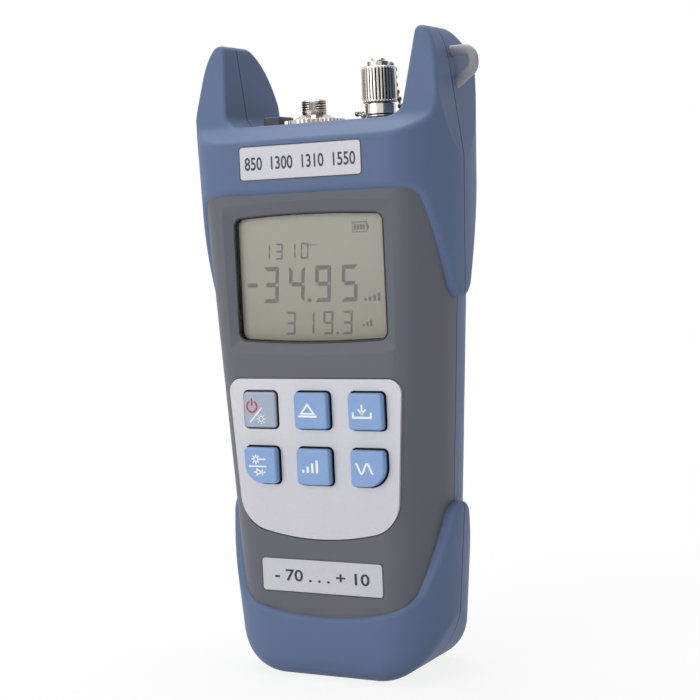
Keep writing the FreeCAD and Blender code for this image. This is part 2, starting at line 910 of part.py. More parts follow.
def front_core():
    """Grey front half with its screw and board bosses, before the face is cut."""
    outer = grip_solid(-1, 0, size(v("boot_wall")), core_top)
    core = outer.cut(grip_solid(-1, size(v("wall")), cavity_foot, cavity_top))
    deep = -size(v("front_depth"))
    for x, z in screw_places():
        core = core.fuse(rod(x, z, size(v("shell_boss_diameter")), 0, deep).common(outer))
    for x, z in board_places():
        boss = rod(x, z, size(v("board_boss_diameter")), -size(v("board_depth")), deep)
        core = core.fuse(boss.common(outer))
    gap = 2 * size(v("screw_gap"))
    drill = size(v("shell_screw_diameter")) + gap
    for x, z in screw_places():
        core = core.cut(rod(x, z, drill, 0, -size(v("shell_screw_bite")) - gap))
    bite = size(v("board_depth")) + size(v("board_screw_length")) - size(v("board_thickness")) + gap
    for x, z in board_places():
        core = core.cut(rod(x, z, size(v("board_screw_diameter")) + gap, -size(v("board_depth")), -bite))
    return core.removeSplitter()


def hood_front_half():
    """Front half of the hood, hollowed over the grey shell."""
    solid = hood_solid(-1)
    tools = [
        grip_solid(-1, 0, size(v("boot_wall")), core_top),
        grip_solid(-1, size(v("wall")), cavity_foot, cavity_top),
        panel_void(),
        loops["left"],
        loops["right"],
    ]
    for tool in tools:
        solid = solid.cut(tool)
    return solid


def boot_front_half():
    """Front half of the boot, moulded over the grey shell."""
    return boot_solid(-1).cut(grip_solid(-1, 0, size(v("boot_wall")), core_top))


def rear_half():
    """Blue rear half: grip, hood and boot in one moulding, with the battery bay let in."""
    form = grip_solid(1, 0, size(v("boot_wall")), core_top).fuse([hood_solid(1), boot_solid(1)])
    rear = form.cut(grip_solid(1, size(v("wall")), cavity_foot, cavity_top))
    wall = size(v("bay_wall"))
    floor = size(v("bay_floor"))
    tray = block(bay_half + wall, floor - wall, FAR, bay_low - wall, bay_high + wall)
    rear = rear.fuse(tray.common(form))
    for x, z in screw_places():
        rear = rear.fuse(rod(x, z, size(v("shell_boss_diameter")), 0, FAR).common(form))
    gap = size(v("door_gap"))
    seat = door_inner - size(v("door_seat_gap"))
    tools = [
        block(bay_half, floor, FAR, bay_low, bay_high),
        block(door_half + gap, seat, FAR, door_low - gap, door_high + gap),
        panel_void(),
        loops["left"],
        loops["right"],
    ]
    tools += [hook_slot(side) for side in (-1, 1)]
    seat_depth = size(v("shell_screw_seat"))
    for x, z in screw_places():
        head = size(v("shell_screw_head")) + 2 * size(v("counterbore_gap"))
        tools.append(rod(x, z, head, seat_depth, FAR))
        tools.append(rod(x, z, size(v("shell_screw_diameter")) + 2 * size(v("screw_gap")), 0, seat_depth))
    for tool in tools:
        rear = rear.cut(tool)
    return rear.removeSplitter()


def hook_slot(side):
    """Slot through the bay's lower wall for one hook of the door to swing in."""
    gap = size(v("door_gap"))
    half = size(v("door_hook_width")) / 2 + gap
    reach = size(v("door_hook_reach")) + 2 * size(v("door_hook_thickness"))
    x = side * size(v("door_hook_across"))
    return block(half, door_inner - reach, door_inner, door_low - gap, bay_low, x)


def door_solid():
    """Battery door: a patch of the rear face with two hooks under its lower edge."""
    face = grip_solid(1, 0, size(v("boot_wall")), core_top)
    door = face.common(block(door_half, door_inner, FAR, door_low, door_high))
    thick = size(v("door_hook_thickness"))
    reach = size(v("door_hook_reach"))
    half = size(v("door_hook_width")) / 2
    for side in (-1, 1):
        x = side * size(v("door_hook_across"))
        deep = door_inner - reach
        web = block(half, deep, door_inner, door_low, door_low + thick, x)
        finger = block(half, deep, deep + thick, door_low - reach, door_low + thick, x)
        door = door.fuse([web, finger])
    return door.removeSplitter()


shell_blank = shaped("front_shell_blank", front_core())
hood_blank = shaped("top_bumper_blank", hood_front_half())
node(shaped("bottom_bumper", boot_front_half()))
node(shaped("rear_shell", rear_half()))
node(shaped("battery_door", door_solid()))


# Labels and the recesses that take them

def slab(label, width, height, thickness, corner, offset):
    """Rounded plate facing -Y, drawn about its own middle on a plane in front of the parting plane."""
    body = new_body(label)
    sketch = new_sketch(body, "XZ_Plane", offset)
    draw_outline(sketch, rectangle(width, height))
    pad(body, sketch, thickness)
    round_edges(body, lambda edge: runs_along(edge, Vector(0, 1, 0)), corner)
    return body


def label_pair(name, face):
    """Label and the recess that it sits in, both on a face at a bound depth."""
    middle_height = f"{v(name + '_low')} + {v(name + '_height')} / 2"
    floor = f"{face} - {v('label_recess')}"
    sides = [v(name + side) for side in ("_width", "_height")]
    label = slab(name, *sides, v("label_thickness"), v("label_corner"), floor)
    grown = [f"{side} + 2 * {v('label_gap')}" for side in sides]
    corner = f"{v('label_corner')} + {v('label_gap')}"
    recess = slab(name + "_recess", *grown, v("label_thickness"), corner, floor)
    for item in (label, recess):
        place(item, z=middle_height)
    node(label)
    return recess


HOOD_FACE = "(Sizes.front_depth + Sizes.hood_proud_front)"
top_recess = label_pair("top_label", HOOD_FACE)
bottom_recess = label_pair("bottom_label", v("front_depth"))
node(cut("top_bumper", hood_blank, [top_recess]))


# Display window in its sloped frame

def bowed_outline(grow):
    """Corners and bowed long edges of the window, grown by an expression."""
    half = f"({v('window_half')} + {grow})"
    low = f"{v('window_low')} - ({grow})"
    high = f"{v('window_high')} + ({grow})"
    corners = [(f"-{half}", low), (half, low), (half, high), (f"-{half}", high)]
    return corners, {0: v("window_bow_radius"), 2: v("window_bow_radius")}


def bowed_slab(label, grow, offset, thickness, backwards=False):
    """Plate of the window's outline, facing -Y."""
    body = new_body(label)
    sketch = new_sketch(body, "XZ_Plane", offset)
    corners, bows = bowed_outline(grow)
    draw_outline(sketch, corners, bows)
    pad(body, sketch, thickness, backwards)
    corner = f"{v('window_corner')} + {grow}"
    round_edges(body, lambda edge: runs_along(edge, Vector(0, 1, 0)), corner)
    return body


RIM_FRONT = "(Sizes.front_depth - Sizes.wall - Sizes.window_gap)"
WINDOW_FRONT = "(Sizes.front_depth - Sizes.frame_slope_depth)"
RIM_BACK = f"({RIM_FRONT} - Sizes.window_rim_thickness)"


def window():
    """Clear window with a wider rim that bears on the inside of the shell."""
    body = bowed_slab("display_window", "0", RIM_FRONT, f"{WINDOW_FRONT} - {RIM_FRONT}")
    sketch = new_sketch(body, "XZ_Plane", RIM_FRONT)
    corners, bows = bowed_outline(v("window_rim"))
    draw_outline(sketch, corners, bows)
    pad(body, sketch, v("window_rim_thickness"), backwards=True)
    return body


def sloped_frame():
    """Cutter for the slope that falls from the grey face to the window."""
    body = new_body("frame_slope")
    inner = new_sketch(body, "XZ_Plane", WINDOW_FRONT)
    draw_outline(inner, *bowed_outline("(Sizes.window_gap + Sizes.frame_land)"))
    outer = new_sketch(body, "XZ_Plane", "(Sizes.front_depth + Sizes.frame_slope_depth)")
    draw_outline(outer, *bowed_outline("2 * Sizes.frame_slope_width"))
    loft = body.newObject("PartDesign::AdditiveLoft", "frame_slope_loft")
    loft.Profile = inner
    loft.Sections = [outer]
    loft.Ruled = True
    doc.recompute()
    height = size(v("front_depth"))
    round_edges(
        body,
        lambda edge: abs(middle(edge).y + height) < size(v("frame_slope_depth")) / 4,
        "Sizes.window_corner + Sizes.window_gap + Sizes.frame_land",
    )
    return body


node(window())
window_void = bowed_slab("window_void", v("window_gap"), "(Sizes.front_depth - Sizes.wall)", v("wall"))
frame_void = sloped_frame()

GLASS_FRONT = f"({RIM_BACK} - Sizes.window_gap)"
GLASS_MIDDLE = "(Sizes.window_low + Sizes.window_high) / 2"
BOX_DEPTH = f"({GLASS_FRONT} - Sizes.board_depth)"
glass = slab(
    "lcd_panel", v("glass_width"), v("glass_height"), v("glass_thickness"), v("glass_gap"),
    f"{GLASS_FRONT} - Sizes.glass_thickness",
)
node(place(glass, z=GLASS_MIDDLE))


def light_box():
    """White box behind the glass, pocketed to take it, standing on the board."""
    body = new_body("lcd_frame")
    sketch = new_sketch(body, "XZ_Plane", v("board_depth"))
    grown = [f"{v(side)} + 2 * {v('light_box_margin')}" for side in ("glass_width", "glass_height")]
    draw_outline(sketch, rectangle(*grown))
    pad(body, sketch, BOX_DEPTH)
    mouth = new_sketch(body, "XZ_Plane", GLASS_FRONT)
    seat = [f"{v(side)} + 2 * {v('glass_gap')}" for side in ("glass_width", "glass_height")]
    draw_outline(mouth, rectangle(*seat))
    pocket(body, mouth, v("glass_thickness"))
    return place(body, z=GLASS_MIDDLE)


node(light_box())


# Keypad plate and keys

def plate_outline(grow):
    """Corners and bowed lower edge of the keypad plate, grown by an expression."""
    low = f"({v('plate_half_low')} + {grow})"
    high = f"({v('plate_half_high')} + {grow})"
    bow = v("plate_bow_radius")
    bottom = f"{v('plate_low')} + {bow} - {grow} - sqrt({bow} ^ 2 - {low} ^ 2)"
    top = f"{v('plate_high')} + {grow}"
    corners = [(f"-{low}", bottom), (low, bottom), (high, top), (f"-{high}", top)]
    return corners, {0: bow}


def plate_slab(label, grow, thickness):
    """Plate of the keypad's outline, on the floor of its recess."""
    body = new_body(label)
    sketch = new_sketch(body, "XZ_Plane", "(Sizes.front_depth - Sizes.plate_recess)")
    draw_outline(sketch, *plate_outline(grow))
    pad(body, sketch, thickness)
    waist = size(v("key_row_height"))
    shoulder = size(v("plate_high")) - size(v("plate_corner_high"))
    upright = Vector(0, 1, 0)
    round_edges(
        body,
        lambda edge: runs_along(edge, upright) and middle(edge).z < waist,
        f"{v('plate_corner_low')} + {grow}",
    )
    round_edges(
        body,
        lambda edge: runs_along(edge, upright) and middle(edge).z > shoulder,
        f"{v('plate_corner_high')} + {grow}",
    )
    return body


def key_centre(column, row):
    """Expressions for the middle of a key."""
    across_at = f"{column} * {v('key_pitch_across')}"
    height_at = f"({v('key_row_height')} + {row} * {v('key_pitch_up')})"
    return across_at, height_at


def is_large_corner(point, reach):
    """True at the outer lower corner of the two keys that have a large radius there."""
    for column, row, large, _ in KEYS.values():
        if large is None:
            continue
        x, z = (size(expression) for expression in key_centre(column, row))
        outer = x + large * (size(v("key_width")) / 2 + reach)
        lower = z - size(v("key_height")) / 2 - reach
        if abs(point.x - outer) < TOLERANCE and abs(point.z - lower) < TOLERANCE:
            return True
    return False


def keypad_plate():
    """Silver plate with a hole for each key."""
    body = plate_slab("keypad_plate", "0", v("plate_thickness"))
    sketch = new_sketch(body, "XZ_Plane", "(Sizes.front_depth - Sizes.plate_recess)")
    grown = [f"{v(side)} + 2 * {v('key_gap')}" for side in ("key_width", "key_height")]
    for column, row, _, _ in KEYS.values():
        x, z = key_centre(column, row)
        draw_outline(sketch, rectangle(grown[0], grown[1], x, z))
    pocket(body, sketch, v("plate_thickness"), backwards=True)
    gap = size(v("key_gap"))
    span = size(v("key_pitch_across")) + size(v("key_width")) / 2 + gap + TOLERANCE
    low = size(v("key_row_height")) - size(v("key_height")) / 2 - gap - TOLERANCE
    high = low + size(v("key_pitch_up")) + size(v("key_height")) + 2 * (gap + TOLERANCE)

    def hole_corner(edge):
        point = middle(edge)
        return runs_along(edge, Vector(0, 1, 0)) and abs(point.x) < span and low < point.z < high

    large = f"{v('key_corner_large')} + {v('key_gap')}"
    round_edges(body, lambda edge: hole_corner(edge) and is_large_corner(middle(edge), gap), large)
    small = f"{v('key_corner')} + {v('key_gap')}"
    round_edges(body, lambda edge: hole_corner(edge) and is_sharp_hole_corner(middle(edge), gap), small)
    return body


def is_sharp_hole_corner(point, reach):
    """True at a plain corner of a key or of its hole."""
    for column, row, _, _ in KEYS.values():
        x, z = (size(expression) for expression in key_centre(column, row))
        beside = abs(abs(point.x - x) - size(v("key_width")) / 2 - reach) < TOLERANCE
        level = abs(abs(point.z - z) - size(v("key_height")) / 2 - reach) < TOLERANCE
        if beside and level:
            return not is_large_corner(point, reach)
    return False


FLANGE_FRONT = "(Sizes.front_depth - Sizes.wall - Sizes.key_play)"
SWITCH_TOP = "(Sizes.board_depth + Sizes.switch_height + Sizes.switch_button_height)"


def key(label):
    """Key cap with a flange behind the shell wall and a stem to its switch, drawn in place."""
    column, row, large, proud = KEYS[label]
    body = new_body(label)
    x, z = key_centre(column, row)
    sketch = new_sketch(body, "XZ_Plane", FLANGE_FRONT)
    draw_outline(sketch, rectangle(v("key_width"), v("key_height"), x, z))
    top = f"Sizes.front_depth + {v(proud)}"
    pad(body, sketch, f"{top} - {FLANGE_FRONT}")
    upright = Vector(0, 1, 0)
    if large is not None:
        round_edges(
            body,
            lambda edge: runs_along(edge, upright) and is_large_corner(middle(edge), 0),
            v("key_corner_large"),
        )
    round_edges(
        body,
        lambda edge: runs_along(edge, upright) and is_sharp_hole_corner(middle(edge), 0),
        v("key_corner"),
    )
    front = size(top)
    round_edges(body, lambda edge: abs(middle(edge).y + front) < TOLERANCE, v("key_edge_round"))
    sketch = new_sketch(body, "XZ_Plane", FLANGE_FRONT)
    grown = [f"{v(side)} + 2 * {v('key_flange_reach')}" for side in ("key_width", "key_height")]
    draw_outline(sketch, rectangle(grown[0], grown[1], x, z))
    pad(body, sketch, v("key_flange_thickness"), backwards=True)
    sketch = new_sketch(body, "XZ_Plane", FLANGE_FRONT)
    draw_circle(sketch, v("key_stem_diameter"), x, z)
    pad(body, sketch, f"{FLANGE_FRONT} - {SWITCH_TOP} - Sizes.key_travel - Sizes.key_play", backwards=True)
    return body


plate_void = plate_slab("plate_void", v("plate_gap"), v("plate_recess"))
node(keypad_plate())
key_voids = []
switches = []
for key_name, (key_column, key_row, _, _) in KEYS.items():
    node(key(key_name))
    key_x, key_z = key_centre(key_column, key_row)
    opening_width = f"({v('key_width')} + 2 * {v('key_gap')})"
    opening_height = f"({v('key_height')} + 2 * {v('key_gap')})"
    opening_depth = "(2 * Sizes.wall)"
    key_voids.append(
        box(
            key_name + "_void", opening_width, opening_depth, opening_height,
            key_x, "-(Sizes.front_depth - Sizes.wall)", f"{key_z} - {opening_height} / 2",
        )
    )
    switch_base = box(
        key_name + "_switch_base", v("switch_size"), v("switch_height"), v("switch_size"),
        key_x, "-(Sizes.board_depth + Sizes.switch_height / 2)", f"{key_z} - Sizes.switch_size / 2",
    )
    button = cylinder(
        key_name + "_switch_button", v("switch_button_diameter"),
        "Sizes.switch_height + Sizes.switch_button_height",
    )
    button.Placement.Rotation = FreeCAD.Rotation(Vector(1, 0, 0), 90)
    place(button, key_x, "-Sizes.board_depth", key_z)
    switches.append(fuse(key_name + "_switch", [switch_base, button]))
node(group("key_switches", switches))
node(cut("front_shell", shell_blank, [plate_void, window_void, frame_void, bottom_recess] + key_voids))


# Circuit board and screws

def screw(label, diameter, head, head_height, length, x, y, z):
    """Screw along Y with its head behind: turned profile laid over, seated at a bound depth."""
    body = new_body(label)
    profile = [
        ("0", f"-{head_height}"), (f"{head} / 2", f"-{head_height}"), (f"{head} / 2", "0"),
        (f"{diameter} / 2", "0"), (f"{diameter} / 2", length), ("0", length),
    ]
    revolve(body, profile)
    body.Placement.Rotation = FreeCAD.Rotation(Vector(1, 0, 0), 90)
    return place(body, x, y, z)


def board():
    """Circuit board on its four bosses, drilled for their screws."""
    body = new_body("main_board")
    sketch = new_sketch(body, "XZ_Plane", "(Sizes.board_depth - Sizes.board_thickness)")
    half = v("board_half")
    low = v("board_low")
    high = v("board_high")
    draw_outline(sketch, [(f"-{half}", low), (half, low), (half, high), (f"-{half}", high)])
    for side in ("-", ""):
        for height in ("board_boss_low", "board_boss_high"):
            hole = f"{v('board_screw_diameter')} + 2 * {v('screw_gap')}"
            draw_circle(sketch, hole, f"{side}{v('board_boss_across')}", v(height))
    pad(body, sketch, v("board_thickness"))
    return body


node(board())
board_screws = []
shell_screws = []
for side_sign in ("-", ""):
    for height_name in ("board_boss_low", "board_boss_high"):
        board_screws.append(
            screw(
                f"board_screw_{len(board_screws)}", v("board_screw_diameter"), v("board_screw_head"),
                v("board_screw_head_height"), v("board_screw_length"),
                f"{side_sign}{v('board_boss_across')}", "-(Sizes.board_depth - Sizes.board_thickness)",
                v(height_name),
            )
        )
    for level in ("low", "high"):
        shell_screws.append(
            screw(
                f"shell_screw_{len(shell_screws)}", v("shell_screw_diameter"), v("shell_screw_head"),
                v("shell_screw_head_height"), "Sizes.shell_screw_seat + Sizes.shell_screw_bite",
                f"{side_sign}{v('shell_screw_across_' + level)}", v("shell_screw_seat"),
                v("shell_screw_" + level),
            )
        )
node(group("board_screws", board_screws))
node(group("shell_screws", shell_screws))


# Connector panel

PANEL_UNDER = "Sizes.platform_height - Sizes.panel_top_wall - Sizes.panel_flange_thickness"


def connector_panel():
    """Panel with a flange that the shells clamp, drilled for the two ports, the socket and the anchor."""
    body = new_body("connector_panel")
    thickness = "(Sizes.panel_top_wall + Sizes.panel_flange_thickness)"
    sketch = new_sketch(body, "XY_Plane", f"Sizes.platform_height - {thickness}")
    half = v("panel_half")
    front = f"-{v('panel_front')}"
    rear = v("panel_rear")
    draw_outline(sketch, [(f"-{half}", front), (half, front), (half, rear), (f"-{half}", rear)])
    pad(body, sketch, thickness)
    sketch = new_sketch(body, "XY_Plane", f"Sizes.platform_height - {thickness}")
    flange = v("panel_flange")
    wide = f"({half} + {flange})"
    fore = f"{front} - {flange}"
    aft = f"{rear} + {flange}"
    draw_outline(sketch, [(f"-{wide}", fore), (wide, fore), (wide, aft), (f"-{wide}", aft)])
    pad(body, sketch, v("panel_flange_thickness"))
    holes = new_sketch(body, "XY_Plane", v("platform_height"))
    fit = f"2 * {v('barrel_fit')}"
    draw_circle(holes, f"{v('barrel_neck_diameter')} + {fit}", v("detector_across"), v("port_line"))
    draw_circle(holes, f"{v('laser_tail_diameter')} + {fit}", v("laser_across"), v("port_line"))
    draw_circle(holes, v("jack_hole"), v("jack_across"), v("port_line"))
    draw_circle(holes, f"{v('anchor_shank_diameter')} + {fit}", v("anchor_across"), v("anchor_line"))
    pocket(body, holes, thickness)
    return body


node(connector_panel())


# Detector port

def detector_flange():
    """Knurled flange with a conical step, round the barrel."""
    body = new_body("detector_flange")
    bore = f"({v('barrel_neck_diameter')} / 2 + {v('barrel_fit')})"
    rim = f"{v('flange_diameter')} / 2"
    thick = v("flange_thickness")
    top = f"{thick} + {v('flange_cone_height')}"
    profile = [
        (bore, "0"), (rim, "0"), (rim, thick), (f"{v('flange_cone_low')} / 2", thick),
        (f"{v('flange_cone_high')} / 2", top), (bore, top),
    ]
    revolve(body, profile)
    sketch = new_sketch(body, "XY_Plane", thick)
    half_notch = v("flange_notch_depth")
    root = f"({rim} - {v('flange_notch_depth')})"
    outside = f"({rim} + {v('flange_notch_depth')})"
    draw_outline(sketch, [(root, "0"), (outside, f"-2 * {half_notch}"), (outside, f"2 * {half_notch}")])
    notch = pocket(body, sketch, thick)
    polar(body, notch, v("flange_notches"))
    return place(body, v("detector_across"), v("port_line"), v("platform_height"))


def detector_barrel():
    """Threaded barrel with a wide mouth, a keyway, and a tail through the panel."""
    body = new_body("detector_barrel")
    hole = f"{v('sleeve_diameter')} / 2"
    neck = f"{v('barrel_neck_diameter')} / 2"
    outer = f"{v('barrel_diameter')} / 2"
    bore = f"{v('barrel_bore')} / 2"
    tall = v("barrel_height")
    chamfer = v("barrel_chamfer")
    low = f"-{v('barrel_tail')}"
    step = v("barrel_neck_height")
    seat = f"{tall} - {v('barrel_bore_depth')}"
    profile = [
        (hole, low), (neck, low), (neck, step), (outer, step), (outer, f"{tall} - {chamfer}"),
        (f"{outer} - {chamfer}", tall), (bore, tall), (bore, seat), (hole, seat),
    ]
    revolve(body, profile)
    sketch = new_sketch(body, "XY_Plane", tall)
    half = f"{v('barrel_key_slot')} / 2"
    near = f"-{v('barrel_diameter')} / 4"
    beyond = f"-{v('barrel_diameter')}"
    draw_outline(sketch, [(f"-{half}", beyond), (half, beyond), (half, near), (f"-{half}", near)])
    pocket(body, sketch, v("barrel_key_slot_depth"))
    body.Placement.Rotation = FreeCAD.Rotation(Vector(0, 0, 1), size(v("barrel_key_turn")))
    return place(body, v("detector_across"), v("port_line"), v("platform_height"))


def detector_sleeve():
    """Tube that guides the ferrule to the photodiode."""
    body = new_body("detector_sleeve")
    top = f"({v('barrel_height')} - {v('sleeve_below_top')})"
    low = f"{top} - {v('sleeve_depth')}"
    inner = f"{v('ferrule_bore')} / 2"
    outer = f"{v('sleeve_diameter')} / 2"
    revolve(body, [(inner, low), (outer, low), (outer, top), (inner, top)])
    return place(body, v("detector_across"), v("port_line"), v("platform_height"))


def nut(label, bore, x):
    """Hexagon nut that holds a port under the panel."""
    body = new_body(label)
    sketch = new_sketch(body, "XY_Plane")
    corners = []
    for step in range(6):
        angle = 60 * step
        radius = f"{v('nut_across')} / sqrt(3)"
        corners.append((f"{radius} * cos({angle}.1 deg)", f"{radius} * sin({angle}.1 deg)"))
    draw_outline(sketch, corners)
    draw_circle(sketch, f"{bore} + 2 * {v('barrel_fit')}")
    pad(body, sketch, v("nut_thickness"), backwards=True)
    return place(body, x, v("port_line"), PANEL_UNDER)


node(detector_flange())
node(detector_barrel())
node(detector_sleeve())
node(
    cylinder(
        "photodiode", v("photodiode_diameter"), v("photodiode_height"), v("detector_across"), v("port_line"),
        "Sizes.platform_height - Sizes.barrel_tail - Sizes.photodiode_height",
    )
)
detector_nut = nut("detector_nut", v("barrel_neck_diameter"), v("detector_across"))
laser_nut = nut("laser_nut", v("laser_tail_diameter"), v("laser_across"))
node(group("port_nuts", [detector_nut, laser_nut]))


# Laser port, dust cap, swivel ring, chain and anchor

CAP_BASE = "(Sizes.platform_height + Sizes.laser_collar_height + Sizes.cap_lift)"
RING_BASE = f"({CAP_BASE} + Sizes.cap_height + Sizes.ring_gap)"


def laser_port():
    """Port with a collar on the panel and a threaded stub under the cap, bored for a ferrule."""
    body = new_body("laser_port")
    bore = f"{v('ferrule_bore')} / 2"
    tail = f"{v('laser_tail_diameter')} / 2"
    collar = f"{v('laser_collar_diameter')} / 2"
    thread = f"{v('laser_thread_diameter')} / 2"
    step = v("laser_collar_height")
    top = f"{step} + {v('laser_thread_height')}"
    low = f"-{v('laser_tail')}"
    profile = [
        (bore, low), (tail, low), (tail, "0"), (collar, "0"), (collar, step), (thread, step), (thread, top),
        (bore, top),
    ]
    revolve(body, profile)
    return place(body, v("laser_across"), v("port_line"), v("platform_height"))


def laser_cap():
    """Ribbed dust cap, hollow over the threaded stub, with a headed post for the swivel ring."""
    body = new_body("laser_cap")
    bore = f"({v('laser_thread_diameter')} / 2 + {v('cap_bore_gap')})"
    rim = f"{v('cap_diameter')} / 2"
    tall = v("cap_height")
    chamfer = v("cap_edge_chamfer")
    post = f"{v('cap_post_diameter')} / 2"
    head = f"{v('cap_head_diameter')} / 2"
    post_top = f"{tall} + {v('cap_post_height')}"
    head_top = f"{post_top} + {v('cap_head_height')}"
    roof = f"{tall} - {v('cap_roof')}"
    profile = [
        (bore, "0"), (f"{rim} - {chamfer}", "0"), (rim, chamfer), (rim, f"{tall} - {chamfer}"),
        (f"{rim} - {chamfer}", tall), (post, tall), (post, post_top), (head, post_top), (head, head_top),
        ("0", head_top), ("0", roof), (bore, roof),
    ]
    revolve(body, profile)
    sketch = new_sketch(body, "XY_Plane", f"{tall} - {v('cap_plain_band')}")
    half = f"{v('cap_groove_width')} / 2"
    root = f"({rim} - {v('cap_groove_depth')})"
    outside = f"({rim} + {v('cap_groove_depth')})"
    draw_outline(sketch, [(root, f"-{half}"), (outside, f"-{half}"), (outside, half), (root, half)])
    groove = pocket(body, sketch, f"{tall} - 2 * {v('cap_plain_band')}")
    polar(body, groove, v("cap_ribs"))
    return place(body, v("laser_across"), v("port_line"), CAP_BASE)


def swivel_ring():
    """Flat ring that turns on the cap's post, with an ear for the chain."""
    body = new_body("swivel_ring")
    sketch = new_sketch(body, "XY_Plane")
    draw_circle(sketch, v("ring_diameter"))
    pad(body, sketch, v("ring_thickness"))
    ear = new_sketch(body, "XY_Plane")
    half = f"{v('ring_ear_width')} / 2"
    reach = v("ring_ear_reach")
    draw_outline(ear, [("0", f"-{half}"), (reach, f"-{half}"), (reach, half), ("0", half)])
    pad(body, ear, v("ring_thickness"))
    hole = new_sketch(body, "XY_Plane", v("ring_thickness"))
    draw_circle(hole, f"{v('cap_post_diameter')} + 2 * {v('ring_gap')}")
    pocket(body, hole, v("ring_thickness"))
    body.Placement.Rotation = FreeCAD.Rotation(Vector(0, 0, 1), size(v("ring_ear_turn")))
    return place(body, v("laser_across"), v("port_line"), RING_BASE)


def round_port(turn, radius, z):
    """Point round the laser port at a turn from +X, a radius and a height."""
    angle = math.radians(turn)
    x = size(v("laser_across")) + radius * math.cos(angle)
    y = size(v("port_line")) + radius * math.sin(angle)
    return Vector(x, y, z)


def chain_spots():
    """Middles of the beads: out from the ring's ear, down behind the cap, over the panel to the anchor."""
    bead = size(v("bead_diameter")) / 2
    floor = platform + bead + size(v("chain_rest_gap"))
    ring_level = size(RING_BASE) + size(v("ring_thickness")) / 2
    hang = size(v("cap_diameter")) / 2 + bead + size(v("chain_cap_gap"))
    ear_turn = size(v("ring_ear_turn"))
    beside_anchor = size(v("anchor_across")) + size(v("anchor_diameter")) / 2 + bead
    route = [
        round_port(ear_turn, size(v("ring_ear_reach")) + bead, ring_level),
        round_port(ear_turn, hang, ring_level),
        round_port(size(v("chain_foot_turn")), hang, floor),
        Vector(beside_anchor, size(v("anchor_line")), floor),
    ]
    bends = [0, size(v("chain_bend_high")), size(v("chain_bend_low")), 0]
    line = Part.Wire(smoothed(route, bends, closed=False))
    count = int(round(line.Length / size(v("bead_pitch")))) + 1
    return line.discretize(Number=count)


def bead_solid(spot, before, after):
    """One bead, turned so that its seam and poles keep clear of the wires on both sides."""
    ahead = (after - before).normalize()
    pole = ahead.cross(Vector(1, 1, 1)).normalize()
    bead = Part.makeSphere(size(v("bead_diameter")) / 2)
    bead.Placement = FreeCAD.Placement(spot, FreeCAD.Rotation(ahead.cross(pole), ahead, pole, "ZXY"))
    return bead


def chain_solid():
    """Bead chain: beads on short wires along the chain's path."""
    spots = chain_spots()
    solids = []
    for number, spot in enumerate(spots):
        before = spots[max(number - 1, 0)]
        after = spots[min(number + 1, len(spots) - 1)]
        solids.append(bead_solid(spot, before, after))
    wire = size(v("chain_wire_diameter")) / 2
    for start, finish in zip(spots, spots[1:]):
        step = finish - start
        solids.append(Part.makeCylinder(wire, step.Length, start, step))
    return solids[0].fuse(solids[1:])


def chain_anchor():
    """Headed pin in the panel that holds the chain's end."""
    body = new_body("chain_anchor")
    shank = f"{v('anchor_shank_diameter')} / 2"
    head = f"{v('anchor_diameter')} / 2"
    low = "-(Sizes.panel_top_wall + Sizes.panel_flange_thickness)"
    top = v("anchor_height")
    revolve(body, [("0", low), (shank, low), (shank, "0"), (head, "0"), (head, top), ("0", top)])
    return place(body, v("anchor_across"), v("anchor_line"), v("platform_height"))


node(laser_port())
node(
    cylinder(
        "laser_module", v("laser_module_diameter"), v("laser_module_length"),
        v("laser_across"), v("port_line"),
        "Sizes.platform_height - Sizes.laser_tail - Sizes.laser_module_length",
    )
)
node(laser_cap())
node(swivel_ring())
node(shaped("bead_chain", chain_solid()))
node(chain_anchor())


# Charging socket and its rubber plug

jack_block = box(
    "power_jack_block", v("jack_width"), v("jack_depth"), v("jack_height"), v("jack_across"), v("port_line"),
    f"{PANEL_UNDER} - Sizes.jack_height",
)
jack_bore = cylinder(
    "power_jack_bore", v("jack_hole"), v("jack_height"), v("jack_across"), v("port_line"),
    f"{PANEL_UNDER} - Sizes.jack_height / 2",
)
node(cut("power_jack", jack_block, [jack_bore]))


def jack_plug():
    """Rubber plug: a block on the panel with a stem down the socket."""
    body = new_body("jack_plug")
    sketch = new_sketch(body, "XY_Plane")
    draw_outline(sketch, rectangle(v("jack_plug_width"), v("jack_plug_depth")))
    pad(body, sketch, v("jack_plug_height"))
    round_edges(body, lambda edge: runs_along(edge, Vector(0, 0, 1)), v("jack_plug_corner"))
    top = size(v("jack_plug_height"))
    round_edges(body, lambda edge: abs(middle(edge).z - top) < TOLERANCE, f"{v('jack_plug_corner')} / 2")
    stem = new_sketch(body, "XY_Plane")
    draw_circle(stem, f"{v('jack_hole')} - 2 * {v('jack_plug_gap')}")
    pad(body, stem, v("jack_plug_stem_length"), backwards=True)
    return place(body, v("jack_across"), v("port_line"), v("platform_height"))


node(jack_plug())


# Battery cells and contacts

CELL_LINE = "Sizes.bay_floor + Sizes.cell_diameter / 2 + Sizes.cell_floor_gap"
CELL_FOOT = "Sizes.bay_low + Sizes.contact_spring_height"


def cell_across(number):
    """Expression for the place of a cell across the bay."""
    return f"({number} - (Sizes.cell_count - 1) / 2) * Sizes.cell_pitch"


def battery_cell(number):
    """Cell with its raised contact, standing in the bay."""
    body = new_body(f"battery_cell_{number + 1}")
    radius = f"{v('cell_diameter')} / 2"
    nub = f"{v('cell_nub_diameter')} / 2"
    tall = v("cell_length")
    top = f"{tall} + {v('cell_nub_height')}"
    revolve(body, [("0", "0"), (radius, "0"), (radius, tall), (nub, tall), (nub, top), ("0", top)])
    return place(body, cell_across(number), CELL_LINE, CELL_FOOT)


